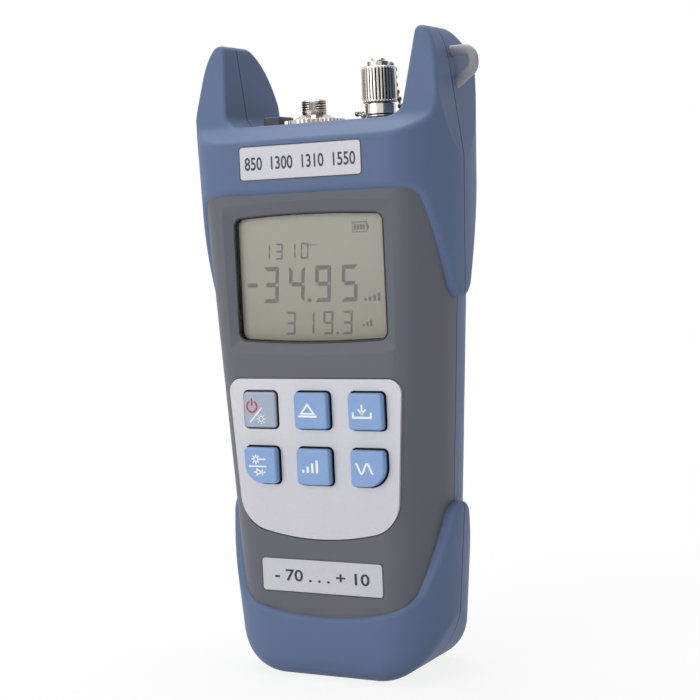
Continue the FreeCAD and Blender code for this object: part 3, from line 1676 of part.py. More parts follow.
def spring_contact(number):
    """Leaf contact under a cell, raised to a ridge in the middle."""
    body = new_body(f"spring_contact_{number}")
    half = f"{v('contact_width')} / 2"
    thin = v("contact_thickness")
    ridge = f"{v('contact_width')} / 4"
    sketch = new_sketch(body, "XZ_Plane", f"-{half}")
    outline = [
        (f"-{half}", "0"), (half, "0"), (half, thin), (ridge, thin), ("0", v("contact_spring_height")),
        (f"-{ridge}", thin), (f"-{half}", thin),
    ]
    draw_outline(sketch, outline)
    pad(body, sketch, v("contact_width"))
    return place(body, cell_across(number), CELL_LINE, v("bay_low"))


contacts = []
for cell_number in range(int(size(v("cell_count")))):
    node(battery_cell(cell_number))
    contacts.append(spring_contact(cell_number))
    contacts.append(
        box(
            f"plate_contact_{cell_number}", v("contact_width"), v("contact_width"), v("contact_thickness"),
            cell_across(cell_number), CELL_LINE, f"{v('bay_low')} + {CELL_TIP}",
        )
    )
node(group("battery_contacts", contacts))


# Check every object and write the sub-parts

doc.recompute()
for item in doc.Objects:
    faults = {"Invalid", "Error"} & set(item.State)
    if faults:
        raise RuntimeError(f"{item.Label} did not build: {item.State}")
for item in nodes:
    if item.Shape.isNull() or not item.Shape.isValid():
        raise RuntimeError(f"{item.Label} has no valid shape")
os.makedirs("parts", exist_ok=True)
for item in nodes:
    item.Shape.exportStep(os.path.join("parts", item.Label + ".step"))
print(f"{len(nodes)} sub-parts written")
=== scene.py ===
import logging
import math
from dataclasses import dataclass
from enum import Enum
from typing import Any

import bmesh
import bpy
import numpy as np
from mathutils import Matrix, Vector


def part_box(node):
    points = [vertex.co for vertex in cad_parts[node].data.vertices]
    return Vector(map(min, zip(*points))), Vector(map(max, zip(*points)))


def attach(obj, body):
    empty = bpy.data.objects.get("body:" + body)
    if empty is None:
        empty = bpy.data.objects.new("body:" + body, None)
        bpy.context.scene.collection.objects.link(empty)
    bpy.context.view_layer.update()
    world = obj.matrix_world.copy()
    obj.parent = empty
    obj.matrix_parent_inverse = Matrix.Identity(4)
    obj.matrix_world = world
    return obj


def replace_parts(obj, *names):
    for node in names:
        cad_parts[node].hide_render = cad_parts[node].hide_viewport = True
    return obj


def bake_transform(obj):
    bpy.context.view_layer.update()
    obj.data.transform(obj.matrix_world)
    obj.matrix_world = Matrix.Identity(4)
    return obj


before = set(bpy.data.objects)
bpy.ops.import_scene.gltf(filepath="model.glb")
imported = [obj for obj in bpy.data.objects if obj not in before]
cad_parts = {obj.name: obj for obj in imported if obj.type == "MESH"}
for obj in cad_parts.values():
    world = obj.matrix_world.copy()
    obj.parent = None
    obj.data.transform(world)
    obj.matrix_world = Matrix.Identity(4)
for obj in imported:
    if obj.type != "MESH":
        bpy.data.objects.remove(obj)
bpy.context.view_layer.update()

LOG = logging.getLogger("power_meter")
MM = 0.001
# Points nearer to each other than this, in metres, are one point
WELD = 1e-7

Tree = bpy.types.NodeTree
Socket = bpy.types.NodeSocket
Object = bpy.types.Object
Inputs = dict[str | int, Any]
Flat = tuple[float, float]
Place = tuple[float, float, float]


class Body(Enum):
    """Moving bodies of the frame that new pieces ride on."""

    HOUSING = "housing"
    CAP = "cap"
    CAP_RING = "cap_ring"


class Slot(Enum):
    """Names of material slots of the record."""

    NICKEL = "nickel"
    SCREW_STEEL = "screw_steel"
    BLACK_PLASTIC = "black_plastic"
    WHITE_PLASTIC = "white_plastic"
    DARK_RUBBER = "dark_rubber"
    LCD_GLASS = "lcd_glass"


def linear(hex_colour: str) -> tuple[float, float, float, float]:
    """Turn an sRGB hex colour into linear light, along the curve of the sRGB standard.

    Args:
        hex_colour: six hex digits.

    Returns:
        Linear red, green, blue and an alpha of one.
    """
    shares = np.array([int(hex_colour[start:start + 2], 16) for start in (0, 2, 4)]) / 255
    light = np.where(shares <= 0.04045, shares / 12.92, ((shares + 0.055) / 1.055) ** 2.4)
    return (*light.tolist(), 1.0)


def add_node(tree: Tree, kind: str, inputs: Inputs | None = None, **settings: Any) -> bpy.types.Node:
    """Add one node with its settings and inputs.

    Args:
        tree: node tree that takes the node.
        kind: Blender's name for the node type.
        inputs: value or output socket for each input, by name or number.
        settings: attributes of the node.

    Returns:
        The new node.
    """
    node = tree.nodes.new(kind)
    for name, value in settings.items():
        setattr(node, name, value)
    for name, value in (inputs or {}).items():
        if isinstance(value, Socket):
            tree.links.new(value, node.inputs[name])
        else:
            node.inputs[name].default_value = value
    return node


def bare_tree(owner: bpy.types.Material | bpy.types.World) -> Tree:
    """Node tree of a material or a world, with its first nodes removed.

    Args:
        owner: the material or world.

    Returns:
        The empty tree.
    """
    owner.use_nodes = True
    owner.node_tree.nodes.clear()
    return owner.node_tree


def add_object(name: str, data: bpy.types.ID) -> Object:
    """Put a mesh, curve, light or camera into the scene.

    Args:
        name: name of the object.
        data: what it shows.

    Returns:
        The new object.
    """
    item = bpy.data.objects.new(name, data)
    bpy.context.scene.collection.objects.link(item)
    return item


@dataclass(frozen=True)
class Seat:
    """Box that a CAD node fills at rest, in millimetres."""

    low: np.ndarray
    high: np.ndarray

    @classmethod
    def of(cls, node: str) -> "Seat":
        """Box of a node of the frame."""
        low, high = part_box(node)
        return cls(np.array(low) / MM, np.array(high) / MM)

    @property
    def middle(self) -> np.ndarray:
        """Centre of the box."""
        return (self.low + self.high) / 2


@dataclass(frozen=True)
class Patch:
    """Part of a surface: points in millimetres and the quads between them."""

    points: np.ndarray
    quads: np.ndarray

    @classmethod
    def grid(cls, points: np.ndarray, wrap_rows: bool = False, wrap_columns: bool = False) -> "Patch":
        """Surface over a grid of points.

        Each quad joins a point to its neighbours in the next column and row. Wrapping joins the last
        row or column to the first.

        Args:
            points: array of rows, columns and three coordinates.
            wrap_rows: close the surface from the last row to the first.
            wrap_columns: close it from the last column to the first.

        Returns:
            The patch.
        """
        rows, columns = points.shape[:2]
        row = np.arange(rows if wrap_rows else rows - 1)[:, None]
        column = np.arange(columns if wrap_columns else columns - 1)[None, :]
        below = row * columns
        above = (row + 1) % rows * columns
        beside = (column + 1) % columns
        quads = np.stack([below + column, below + beside, above + beside, above + column], axis=-1)
        return cls(points.reshape(-1, 3), quads.reshape(-1, 4))

    @classmethod
    def closed(cls, points: np.ndarray) -> "Patch":
        """Surface over a grid that closes both ways, like a ring with a hole."""
        return cls.grid(points, wrap_rows=True, wrap_columns=True)

    @classmethod
    def joined(cls, patches: list["Patch"]) -> "Patch":
        """One patch out of several that stay apart: each one's quads count on from the points before.

        Args:
            patches: the patches to join.

        Returns:
            The patch of them all.
        """
        counts = np.array([len(patch.points) for patch in patches])
        firsts = np.concatenate([[0], np.cumsum(counts)[:-1]])
        quads = [patch.quads + first for patch, first in zip(patches, firsts)]
        return cls(np.concatenate([patch.points for patch in patches]), np.concatenate(quads))

    def mesh(self, name: str) -> bpy.types.Mesh:
        """Blender mesh of the patch, in metres.

        Args:
            name: name of the mesh.

        Returns:
            The mesh.
        """
        mesh = bpy.data.meshes.new(name)
        mesh.from_pydata((self.points * MM).tolist(), [], self.quads.tolist())
        return mesh


class Finish:
    """Surface finish that makes one Blender material the first time it is asked for."""

    name: str

    def material(self) -> bpy.types.Material:
        """Find or make the material of this finish.

        Returns:
            The material.
        """
        known = bpy.data.materials.get(self.name)
        if known is not None:
            return known
        material = bpy.data.materials.new(self.name)
        tree = bare_tree(material)
        place = add_node(tree, "ShaderNodeTexCoord").outputs["Object"]
        shader = add_node(tree, "ShaderNodeBsdfPrincipled", self.shade(tree, place))
        add_node(tree, "ShaderNodeOutputMaterial", {"Surface": shader.outputs["BSDF"]})
        return material

    def shade(self, tree: Tree, place: Socket) -> Inputs:
        """Add the finish's own nodes.

        Args:
            tree: node tree of the material.
            place: Object coordinates.

        Returns:
            Value or output socket for inputs of the main shader.
        """
        raise NotImplementedError


@dataclass(frozen=True)
class MouldedPlastic(Finish):
    """Injection-moulded ABS with a fine spark-eroded texture.

    The eye sees an even satin colour, a faint grain where light grazes it, and slow changes of gloss.
    A shell half also has a groove in the plane Y = 0, where it meets the other half, with painted shade in
    it.
    """

    name: str
    colour: str
    deep_colour: str
    roughness: float
    grain_mm: float = 0.45
    grain_height_mm: float = 0.010
    mottle_mm: float = 38.0
    seam_mm: float = 0.0
    sheen: float = 0.22
    seam_shade_colour: str = "1b2030"
    seam_depth_in_grains: float = 8.0
    gloss_swing: float = 0.05
    ior: float = 1.53

    def shade(self, tree: Tree, place: Socket) -> Inputs:
        """Mottled colour, grain as bump, and the parting line where the shell halves meet as a groove with
        painted shade.

        Args:
            tree: node tree of the material.
            place: Object coordinates.

        Returns:
            Value or output socket for inputs of the main shader.
        """
        # The true grain is about 0.1 mm, too fine for the render, so it is drawn coarser
        grain = add_node(
            tree, "ShaderNodeTexNoise",
            {"Vector": place, "Scale": 1 / (self.grain_mm * MM), "Detail": 3.0, "Roughness": 0.6},
        ).outputs[0]
        mottle = add_node(
            tree, "ShaderNodeTexNoise", {"Vector": place, "Scale": 1 / (self.mottle_mm * MM), "Detail": 4.0},
        ).outputs[0]
        colour = add_node(
            tree, "ShaderNodeMix", {0: mottle, 6: linear(self.deep_colour), 7: linear(self.colour)},
            data_type="RGBA",
        ).outputs[2]
        height = grain
        if self.seam_mm:
            depth = add_node(tree, "ShaderNodeSeparateXYZ", {0: place}).outputs["Y"]
            near = add_node(tree, "ShaderNodeMath", {0: depth}, operation="ABSOLUTE").outputs[0]
            seam = add_node(
                tree, "ShaderNodeMapRange",
                {"Value": near, "From Min": self.seam_mm * MM / 2, "From Max": self.seam_mm * MM,
                 "To Min": 1.0, "To Max": 0.0},
                interpolation_type="SMOOTHSTEP",
            ).outputs[0]
            # Painted shade in the parting line: the colour darkens where the halves meet
            colour = add_node(
                tree, "ShaderNodeMix", {0: seam, 6: colour, 7: linear(self.seam_shade_colour)}, data_type="RGBA",
            ).outputs[2]
            height = add_node(
                tree, "ShaderNodeMath", {0: seam, 1: -self.seam_depth_in_grains, 2: grain},
                operation="MULTIPLY_ADD",
            ).outputs[0]
        gloss = add_node(
            tree, "ShaderNodeMapRange",
            {"Value": mottle, "To Min": self.roughness - self.gloss_swing,
             "To Max": self.roughness + self.gloss_swing},
        ).outputs[0]
        bump = add_node(
            tree, "ShaderNodeBump",
            {"Height": height, "Distance": self.grain_height_mm * MM, "Strength": 1.0},
        ).outputs[0]
        return {
            "Base Color": colour, "Roughness": gloss, "Normal": bump, "IOR": self.ior,
            "Specular IOR Level": self.sheen,
        }


@dataclass(frozen=True)
class SiliconeRubber(Finish):
    """Compression-moulded silicone rubber, as on keypads and sealing plugs.

    The eye sees a soft matte sheen with light that sinks in a little, and fine dust marks. A key is
    darkened at its root with painted shade, where it goes down into its hole.
    """

    name: str
    colour: str
    deep_colour: str
    roughness: float = 0.5
    glow: float = 0.12
    dust_mm: float = 1.6
    root_shade_mm: float = 0.0
    root_shade_fade_mm: float = 0.9
    root_shade_colour: str = "1c2333"
    dust_height_mm: float = 0.01
    dust_strength: float = 0.6
    gloss_swing: float = 0.08
    glow_reach_mm: Place = (0.6, 0.8, 1.2)
    ior: float = 1.41

    def shade(self, tree: Tree, place: Socket) -> Inputs:
        """Slightly cloudy colour with a broad sheen, and painted shade at a key's root.

        Args:
            tree: node tree of the material.
            place: Object coordinates.

        Returns:
            Value or output socket for inputs of the main shader.
        """
        cloud = add_node(
            tree, "ShaderNodeTexNoise", {"Vector": place, "Scale": 1 / (self.dust_mm * MM), "Detail": 5.0},
        ).outputs[0]
        colour = add_node(
            tree, "ShaderNodeMix", {0: cloud, 6: linear(self.deep_colour), 7: linear(self.colour)},
            data_type="RGBA",
        ).outputs[2]
        # Painted shade: the colour darkens towards the back of a key, where it goes down into its hole
        if self.root_shade_mm:
            depth = add_node(tree, "ShaderNodeSeparateXYZ", {0: place}).outputs["Y"]
            root = add_node(
                tree, "ShaderNodeMapRange",
                {"Value": depth, "From Min": (self.root_shade_mm - self.root_shade_fade_mm) * MM,
                 "From Max": self.root_shade_mm * MM},
                interpolation_type="SMOOTHSTEP",
            ).outputs[0]
            colour = add_node(
                tree, "ShaderNodeMix", {0: root, 6: colour, 7: linear(self.root_shade_colour)}, data_type="RGBA",
            ).outputs[2]
        gloss = add_node(
            tree, "ShaderNodeMapRange",
            {"Value": cloud, "To Min": self.roughness - self.gloss_swing,
             "To Max": self.roughness + self.gloss_swing},
        ).outputs[0]
        bump = add_node(
            tree, "ShaderNodeBump",
            {"Height": cloud, "Distance": self.dust_height_mm * MM, "Strength": self.dust_strength},
        ).outputs[0]
        return {
            "Base Color": colour, "Roughness": gloss, "Normal": bump, "IOR": self.ior,
            "Subsurface Weight": self.glow, "Subsurface Radius": self.glow_reach_mm, "Subsurface Scale": MM,
        }


@dataclass(frozen=True)
class PlatedMetal(Finish):
    """Turned metal: brass with bright nickel plate, bare brass or zinc-plated steel.

    The eye sees a mirror with a slight tint, and fine rings that the lathe tool left.
    """

    name: str
    colour: str
    deep_colour: str
    roughness: float
    ring_mm: float = 0.12
    ring_height_mm: float = 0.002
    ring_strength: float = 0.7
    ring_run_mm: float = 14.0
    stain_mm: float = 3.0
    gloss_swing: float = 0.4

    def shade(self, tree: Tree, place: Socket) -> Inputs:
        """Noise drawn out round the axis gives the tool marks, and a slow noise the stains.

        Args:
            tree: node tree of the material.
            place: Object coordinates.

        Returns:
            Value or output socket for inputs of the main shader.
        """
        level = 1 / (self.ring_run_mm * MM)
        stretched = add_node(
            tree, "ShaderNodeMapping", {"Vector": place, "Scale": (level, level, 1 / (self.ring_mm * MM))},
        ).outputs[0]
        rings = add_node(
            tree, "ShaderNodeTexNoise", {"Vector": stretched, "Scale": 1.0, "Detail": 2.0},
        ).outputs[0]
        stain = add_node(
            tree, "ShaderNodeTexNoise", {"Vector": place, "Scale": 1 / (self.stain_mm * MM), "Detail": 4.0},
        ).outputs[0]
        colour = add_node(
            tree, "ShaderNodeMix", {0: stain, 6: linear(self.deep_colour), 7: linear(self.colour)},
            data_type="RGBA",
        ).outputs[2]
        gloss = add_node(
            tree, "ShaderNodeMapRange",
            {"Value": stain, "To Min": self.roughness * (1 - self.gloss_swing),
             "To Max": self.roughness * (1 + self.gloss_swing)},
        ).outputs[0]
        bump = add_node(
            tree, "ShaderNodeBump",
            {"Height": rings, "Distance": self.ring_height_mm * MM, "Strength": self.ring_strength},
        ).outputs[0]
        tint = self.tinted(tree, place, colour)
        return {"Base Color": tint, "Roughness": gloss, "Normal": bump, "Metallic": 1.0}

    def tinted(self, tree: Tree, place: Socket, colour: Socket) -> Socket:
        """Colour of plain plate, with nothing added."""
        return colour


@dataclass(frozen=True)
class GroovedMetal(PlatedMetal):
    """Nickel plate on a knurled or threaded piece, with painted shade in its grooves.

    The eye sees bright crests and dark grooves between them; the dark is painted shade.
    """

    axis_mm: Flat = (0.0, 0.0)
    floor_mm: float = 0.0
    crest_mm: float = 1.0
    wall_mm: float = 0.15
    groove_shade_colour: str = "2b2824"

    def tinted(self, tree: Tree, place: Socket, colour: Socket) -> Socket:
        """Paint shade into the grooves: darken the colour by the distance from the piece's upright axis, from
        crest to groove floor.

        Surfaces a wall's thickness inside the groove floor, such as a bore or a post, stay bright.

        Args:
            tree: node tree of the material.
            place: Object coordinates.
            colour: colour of the plate.

        Returns:
            The colour with painted shade in the grooves.
        """
        across, deep = (value * MM for value in self.axis_mm)
        off = add_node(
            tree, "ShaderNodeVectorMath", {0: place, 1: (across, deep, 0.0)}, operation="SUBTRACT",
        ).outputs[0]
        level = add_node(
            tree, "ShaderNodeVectorMath", {0: off, 1: (1, 1, 0)}, operation="MULTIPLY",
        ).outputs[0]
        radius = add_node(tree, "ShaderNodeVectorMath", {0: level}, operation="LENGTH").outputs["Value"]
        outside = add_node(
            tree, "ShaderNodeMapRange",
            {"Value": radius, "From Min": self.floor_mm * MM, "From Max": self.crest_mm * MM},
            interpolation_type="SMOOTHSTEP",
        ).outputs[0]
        inner = (self.floor_mm - self.wall_mm) * MM
        inside = add_node(
            tree, "ShaderNodeMapRange",
            {"Value": radius, "From Min": inner - self.wall_mm * MM, "From Max": inner,
             "To Min": 1.0, "To Max": 0.0},
        ).outputs[0]
        share = add_node(tree, "ShaderNodeMath", {0: outside, 1: inside}, operation="MAXIMUM").outputs[0]
        return add_node(
            tree, "ShaderNodeMix", {0: share, 6: linear(self.groove_shade_colour), 7: colour}, data_type="RGBA",
        ).outputs[2]


@dataclass(frozen=True)
class PrintedFilm(Finish):
    """Polycarbonate film, printed silver on its back.

    The eye sees a flat silver grey with the tiny sparkle of metal flake under a satin skin.
    """

    name: str
    colour: str
    deep_colour: str
    roughness: float = 0.38
    flake_mm: float = 0.3
    gloss_swing: float = 0.06
    metal_share: float = 0.15
    ior: float = 1.58

    def shade(self, tree: Tree, place: Socket) -> Inputs:
        """Cells of slightly different grey stand for the flakes, drawn coarser than real ones.

        Args:
            tree: node tree of the material.
            place: Object coordinates.

        Returns:
            Value or output socket for inputs of the main shader.
        """
        flake = add_node(
            tree, "ShaderNodeTexVoronoi", {"Vector": place, "Scale": 1 / (self.flake_mm * MM)},
        ).outputs["Color"]
        shade = add_node(tree, "ShaderNodeSeparateColor", {0: flake}).outputs[0]
        colour = add_node(
            tree, "ShaderNodeMix", {0: shade, 6: linear(self.deep_colour), 7: linear(self.colour)},
            data_type="RGBA",
        ).outputs[2]
        gloss = add_node(
            tree, "ShaderNodeMapRange",
            {"Value": shade, "To Min": self.roughness - self.gloss_swing,
             "To Max": self.roughness + self.gloss_swing},
        ).outputs[0]
        return {"Base Color": colour, "Roughness": gloss, "Metallic": self.metal_share, "IOR": self.ior}


@dataclass(frozen=True)
class DisplayFilm(Finish):
    """Reflective liquid-crystal glass: a warm grey polariser over a diffusing mirror.

    The eye sees a dull olive-grey field with faint grain, and a painted highlight that makes it a little
    lighter towards the head.
    """

    name: str
    foot_colour: str
    highlight_head_colour: str
    low_mm: float
    high_mm: float
    grain_mm: float = 0.35
    grain_share: float = 0.25
    roughness: float = 0.42
    ior: float = 1.5

    def shade(self, tree: Tree, place: Socket) -> Inputs:
        """Colour runs from one tone at the foot to a lighter one at the head, a painted highlight, with fine
        grain on top.

        Args:
            tree: node tree of the material.
            place: Object coordinates.

        Returns:
            Value or output socket for inputs of the main shader.
        """
        # Painted highlight: the colour gets lighter towards the head
        height = add_node(tree, "ShaderNodeSeparateXYZ", {0: place}).outputs["Z"]
        rise = add_node(
            tree, "ShaderNodeMapRange",
            {"Value": height, "From Min": self.low_mm * MM, "From Max": self.high_mm * MM},
        ).outputs[0]
        grain = add_node(
            tree, "ShaderNodeTexNoise", {"Vector": place, "Scale": 1 / (self.grain_mm * MM), "Detail": 2.0},
        ).outputs[0]
        share = add_node(
            tree, "ShaderNodeMath", {0: grain, 1: self.grain_share, 2: rise},
            operation="MULTIPLY_ADD", use_clamp=True,
        ).outputs[0]
        colour = add_node(
            tree, "ShaderNodeMix", {0: share, 6: linear(self.foot_colour), 7: linear(self.highlight_head_colour)},
            data_type="RGBA",
        ).outputs[2]
        return {"Base Color": colour, "Roughness": self.roughness, "IOR": self.ior}


@dataclass(frozen=True)
class ClearAcrylic(Finish):
    """Cast acrylic window: clear, glossy and hardly tinted.

    The eye sees what is behind it, and a soft reflection of the lights.
    """

    name: str
    colour: str
    opacity: float = 0.1
    wipe_mm: float = 9.0
    polished: float = 0.02
    wiped: float = 0.1
    ior: float = 1.49

    def shade(self, tree: Tree, place: Socket) -> Inputs:
        """A thin veil of gloss, with faint wipe marks in it, over what lies behind.

        Args:
            tree: node tree of the material.
            place: Object coordinates.

        Returns:
            Value or output socket for inputs of the main shader.
        """
        marks = add_node(
            tree, "ShaderNodeTexNoise", {"Vector": place, "Scale": 1 / (self.wipe_mm * MM), "Detail": 5.0},
        ).outputs[0]
        gloss = add_node(
            tree, "ShaderNodeMapRange", {"Value": marks, "To Min": self.polished, "To Max": self.wiped},
        ).outputs[0]
        return {
            "Base Color": linear(self.colour), "Roughness": gloss, "Alpha": self.opacity, "IOR": self.ior,
        }


@dataclass(frozen=True)
class Ink(Finish):
    """Screen-printed or liquid-crystal mark.

    The eye sees a thin layer of nearly even colour, a little patchy where the print is thin.
    """

    name: str
    colour: str
    deep_colour: str
    roughness: float = 0.5
    patch_mm: float = 0.6

    def shade(self, tree: Tree, place: Socket) -> Inputs:
        """Even colour with the thin and thick patches of a print.

        Args:
            tree: node tree of the material.
            place: Object coordinates.

        Returns:
            Value or output socket for inputs of the main shader.
        """
        patchy = add_node(
            tree, "ShaderNodeTexNoise", {"Vector": place, "Scale": 1 / (self.patch_mm * MM), "Detail": 3.0},
        ).outputs[0]
        colour = add_node(
            tree, "ShaderNodeMix", {0: patchy, 6: linear(self.deep_colour), 7: linear(self.colour)},
            data_type="RGBA",
        ).outputs[2]
        return {"Base Color": colour, "Roughness": self.roughness}


BLUE_SHELL = MouldedPlastic("blue_moulded_abs", "617292", "5c6d8c", 0.49, seam_mm=0.26, sheen=0.13)
GREY_SHELL = MouldedPlastic("grey_moulded_abs", "63666e", "5e6168", 0.48, seam_mm=0.26)
WHITE_PLASTIC = MouldedPlastic("white_moulded_plastic", "dadad6", "cfcfca", 0.5)
BLACK_PLASTIC = MouldedPlastic("black_moulded_plastic", "232326", "19191b", 0.5)
# Solder mask, shrink film and ground ceramic have a satin skin like that of moulded plastic
BOARD_GREEN = MouldedPlastic("board_solder_mask", "23633f", "1a4f33", 0.4)
CELL_WRAP = MouldedPlastic("cell_shrink_wrap", "3c3f47", "32353c", 0.3, sheen=0.5)
CERAMIC = MouldedPlastic("ground_zirconia", "ebebe6", "e2e2dc", 0.25, sheen=0.5)
BLUE_KEY = SiliconeRubber("blue_silicone_key", "88a9d5", "80a1ce", 0.42, root_shade_mm=-19.5)
POWER_KEY = SiliconeRubber("grey_silicone_key", "a4b2c4", "9daabc", 0.46, root_shade_mm=-19.3, root_shade_fade_mm=0.6)
DARK_RUBBER = SiliconeRubber("dark_rubber_plug", "525256", "48484c", 0.6, glow=0.0)
LOOP_RUBBER = SiliconeRubber("grey_rubber_loop", "9c9ea3", "929499", 0.5, glow=0.0)
# Painted shade: the seal's black also stands for the shade on the wall of the window's opening
SEAL_RUBBER_AND_SHADE = SiliconeRubber("black_rubber_seal_and_shade", "121316", "0c0d0f", 0.22, glow=0.0)
NICKEL = PlatedMetal("nickel_plate", "d2cbc0", "beb6aa", 0.16)
CHAIN_NICKEL = PlatedMetal("bead_nickel_plate", "958f86", "7d776f", 0.24)
STEEL = PlatedMetal("zinc_plated_steel", "9d9ea2", "8b8c90", 0.32)
BRASS = PlatedMetal("turned_brass", "b8934d", "a27f3e", 0.3)
# Painted shade: dark strips stand for the shade in the screws' cross recesses
RECESS_SHADE = PlatedMetal("shaded_screw_recess", "2c2c2f", "232326", 0.5)
# Upright axes of the two ports, across and deep, in millimetres
LASER_AXIS = (16.2, 2.0)
DETECTOR_AXIS = (-6.8, 2.0)
# Painted shade: the three plates below darken in their grooves
CAP_NICKEL = GroovedMetal(
    "ribbed_nickel_plate", "dcd6cc", "c9c2b6", 0.14, axis_mm=LASER_AXIS, floor_mm=4.9, crest_mm=5.25,
)
PORT_NICKEL = GroovedMetal(
    "ringed_nickel_plate", "dcd6cc", "c9c2b6", 0.14, axis_mm=LASER_AXIS, floor_mm=4.05, crest_mm=4.35,
)
BARREL_NICKEL = GroovedMetal(
    "threaded_nickel_plate", "dcd6cc", "c9c2b6", 0.14, axis_mm=DETECTOR_AXIS, floor_mm=3.66, crest_mm=3.95,
)
KEYPAD_SILVER = PrintedFilm("silver_keypad_film", "c7c6cc", "c2c1c7")
LABEL_SILVER = PrintedFilm("silver_label_film", "c4c4c9", "bebec4", 0.34)
# Painted shade: the top label gets a darker copy of the label film, as it tilts up towards the light above
TOP_LABEL_SHADED_SILVER = PrintedFilm("silver_top_label_film_shaded", "b4b4b9", "aeaeb4", 0.36)
WINDOW = ClearAcrylic("clear_acrylic", "1a1b1a")
MASK_INK = Ink("black_mask_ink", "141518", "0e0f11")
DIGIT_INK = Ink("display_segment", "7b7974", "74726d", 0.42)
MARK_WHITE = Ink("white_key_mark", "f2f4f8", "e6eaf2")
MARK_RED = Ink("red_key_mark", "c8202c", "b81c28")
LABEL_INK_AND_SHADE = Ink("dark_label_print_and_shade", "2c2e36", "22242b")


def make_piece(
    name: str, patch: Patch, finish: Finish, body: Body | None,
    closed: bool = True, crease_deg: float = 35.0,
) -> Object:
    """Put a patch into the scene as a piece of the object, with its seams and poles merged.

    Args:
        name: name of the piece.
        patch: its surface.
        finish: its finish.
        closed: true for a closed surface, whose faces are then turned outwards.
        crease_deg: edges sharper than this stay crisp.

    Returns:
        The new object.
    """
    mesh = patch.mesh(name)
    work = bmesh.new()
    work.from_mesh(mesh)
    bmesh.ops.remove_doubles(work, verts=work.verts, dist=WELD)
    bmesh.ops.dissolve_degenerate(work, edges=work.edges, dist=WELD)
    if closed:
        bmesh.ops.recalc_face_normals(work, faces=work.faces)
    work.to_mesh(mesh)
    work.free()
    mesh.shade_smooth()
    mesh.set_sharp_from_angle(angle=math.radians(crease_deg))
    return add_piece(name, mesh, finish, body)


def add_piece(name: str, mesh: bpy.types.Mesh, finish: Finish, body: Body | None) -> Object:
    """Link a finished mesh as an object that rides on a body.

    Args:
        name: name of the piece.
        mesh: its mesh, in place.
        finish: its finish.
        body: the body that it rides on, or None where the caller places it.

    Returns:
        The new object.
    """
    mesh.materials.clear()
    mesh.materials.append(finish.material())
    piece = add_object(name, mesh)
    if body is not None:
        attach(piece, body.value)
    LOG.info("%s: %d faces", name, len(mesh.polygons))
    return piece


def drawn_mesh(data: bpy.types.Curve) -> bpy.types.Mesh:
    """Mesh that Blender draws for a curve or a text, whose own data is then removed.

    Args:
        data: the curve or text.

    Returns:
        The mesh.
    """
    holder = add_object(data.name, data)
    mesh = bpy.data.meshes.new_from_object(holder.evaluated_get(bpy.context.evaluated_depsgraph_get()))
    bpy.data.objects.remove(holder)
    bpy.data.curves.remove(data)
    return mesh


def vertices_of(mesh: bpy.types.Mesh) -> np.ndarray:
    """Vertices of a mesh as rows of three coordinates.

    Args:
        mesh: the mesh.

    Returns:
        The rows, in the mesh's own units.
    """
    points = np.empty(len(mesh.vertices) * 3)
    mesh.vertices.foreach_get("co", points)
    return points.reshape(-1, 3)


def around(axis: np.ndarray, reach: np.ndarray, turn: np.ndarray, height: np.ndarray) -> np.ndarray:
    """Points round an upright axis: reach times cosine and sine of the turn, each at its height."""
    across, deep = axis[0] + reach * np.cos(turn), axis[1] + reach * np.sin(turn)
    return np.stack([across, deep, height + 0 * turn], axis=-1)


def thread_wave(height: np.ndarray, turn: np.ndarray, pitch: float) -> np.ndarray:
    """Triangle wave of a screw thread, 0 on the crest and 1 in the root: height over pitch less the turn."""
    return np.abs(2 * np.mod(height / pitch - turn / (2 * np.pi), 1) - 1)


def smoothstep(value: np.ndarray, low: float, high: float) -> np.ndarray:
    """Ease from 0 at low to 1 at high along 3t^2 - 2t^3."""
    share = np.clip((value - low) / (high - low), 0, 1)
    return share * share * (3 - 2 * share)


def unit(rows: np.ndarray) -> np.ndarray:
    """Rows over their lengths."""
    return rows / np.linalg.norm(rows, axis=1, keepdims=True)


def stroke(path: np.ndarray, width: float, closed: bool = False) -> np.ndarray:
    """Flat ribbon along a path, as a grid of its right and left edges.

    Each path point is pushed half the width to both sides along the mitre of its two neighbours. A
    mitre is at most twice as long as a square end.

    Args:
        path: points across and up.
        width: width of the ribbon.
        closed: true for a path that returns to its start.

    Returns:
        Two rows of points, right edge and left edge.
    """
    if closed:
        before, after = np.roll(path, 1, axis=0), np.roll(path, -1, axis=0)
    else:
        before = np.concatenate([path[:1], path[:-1]])
        after = np.concatenate([path[1:], path[-1:]])
    arrive, leave = path - before, after - path
    arrive = np.where(np.abs(arrive).sum(1, keepdims=True) > 0, arrive, leave)
    leave = np.where(np.abs(leave).sum(1, keepdims=True) > 0, leave, arrive)
    arrive = unit(arrive)
    along = unit(arrive + unit(leave))
    stretch = 1 / np.clip((along * arrive).sum(1, keepdims=True), 0.5, 1)
    sideways = np.stack([-along[:, 1], along[:, 0]], axis=1) * stretch * width / 2
    return np.stack([path - sideways, path + sideways])


def arc(centre: Flat, radius: float, start_deg: float, end_deg: float, count: int) -> np.ndarray:
    """Points of a circular arc: centre plus radius times cosine and sine of evenly spaced angles."""
    angle = np.radians(np.linspace(start_deg, end_deg, count))
    return np.array(centre) + radius * np.stack([np.cos(angle), np.sin(angle)], axis=1)


def facing_front(flat: np.ndarray, front: float, closed: bool = False) -> Patch:
    """Stand a flat grid of across and up at a depth in front, facing -Y."""
    points = np.stack([flat[..., 0], np.full(flat.shape[:-1], front), flat[..., 1]], axis=-1)
    return Patch.grid(points, wrap_columns=closed)


def box_patch(left: float, low: float, width: float, height: float, front: float) -> Patch:
    """Filled rectangle that faces -Y: one quad from its lower left corner, width and height."""
    flat = np.array([[[0, 0], [width, 0]], [[0, height], [width, height]]]) + np.array([left, low])
    return facing_front(flat, front)


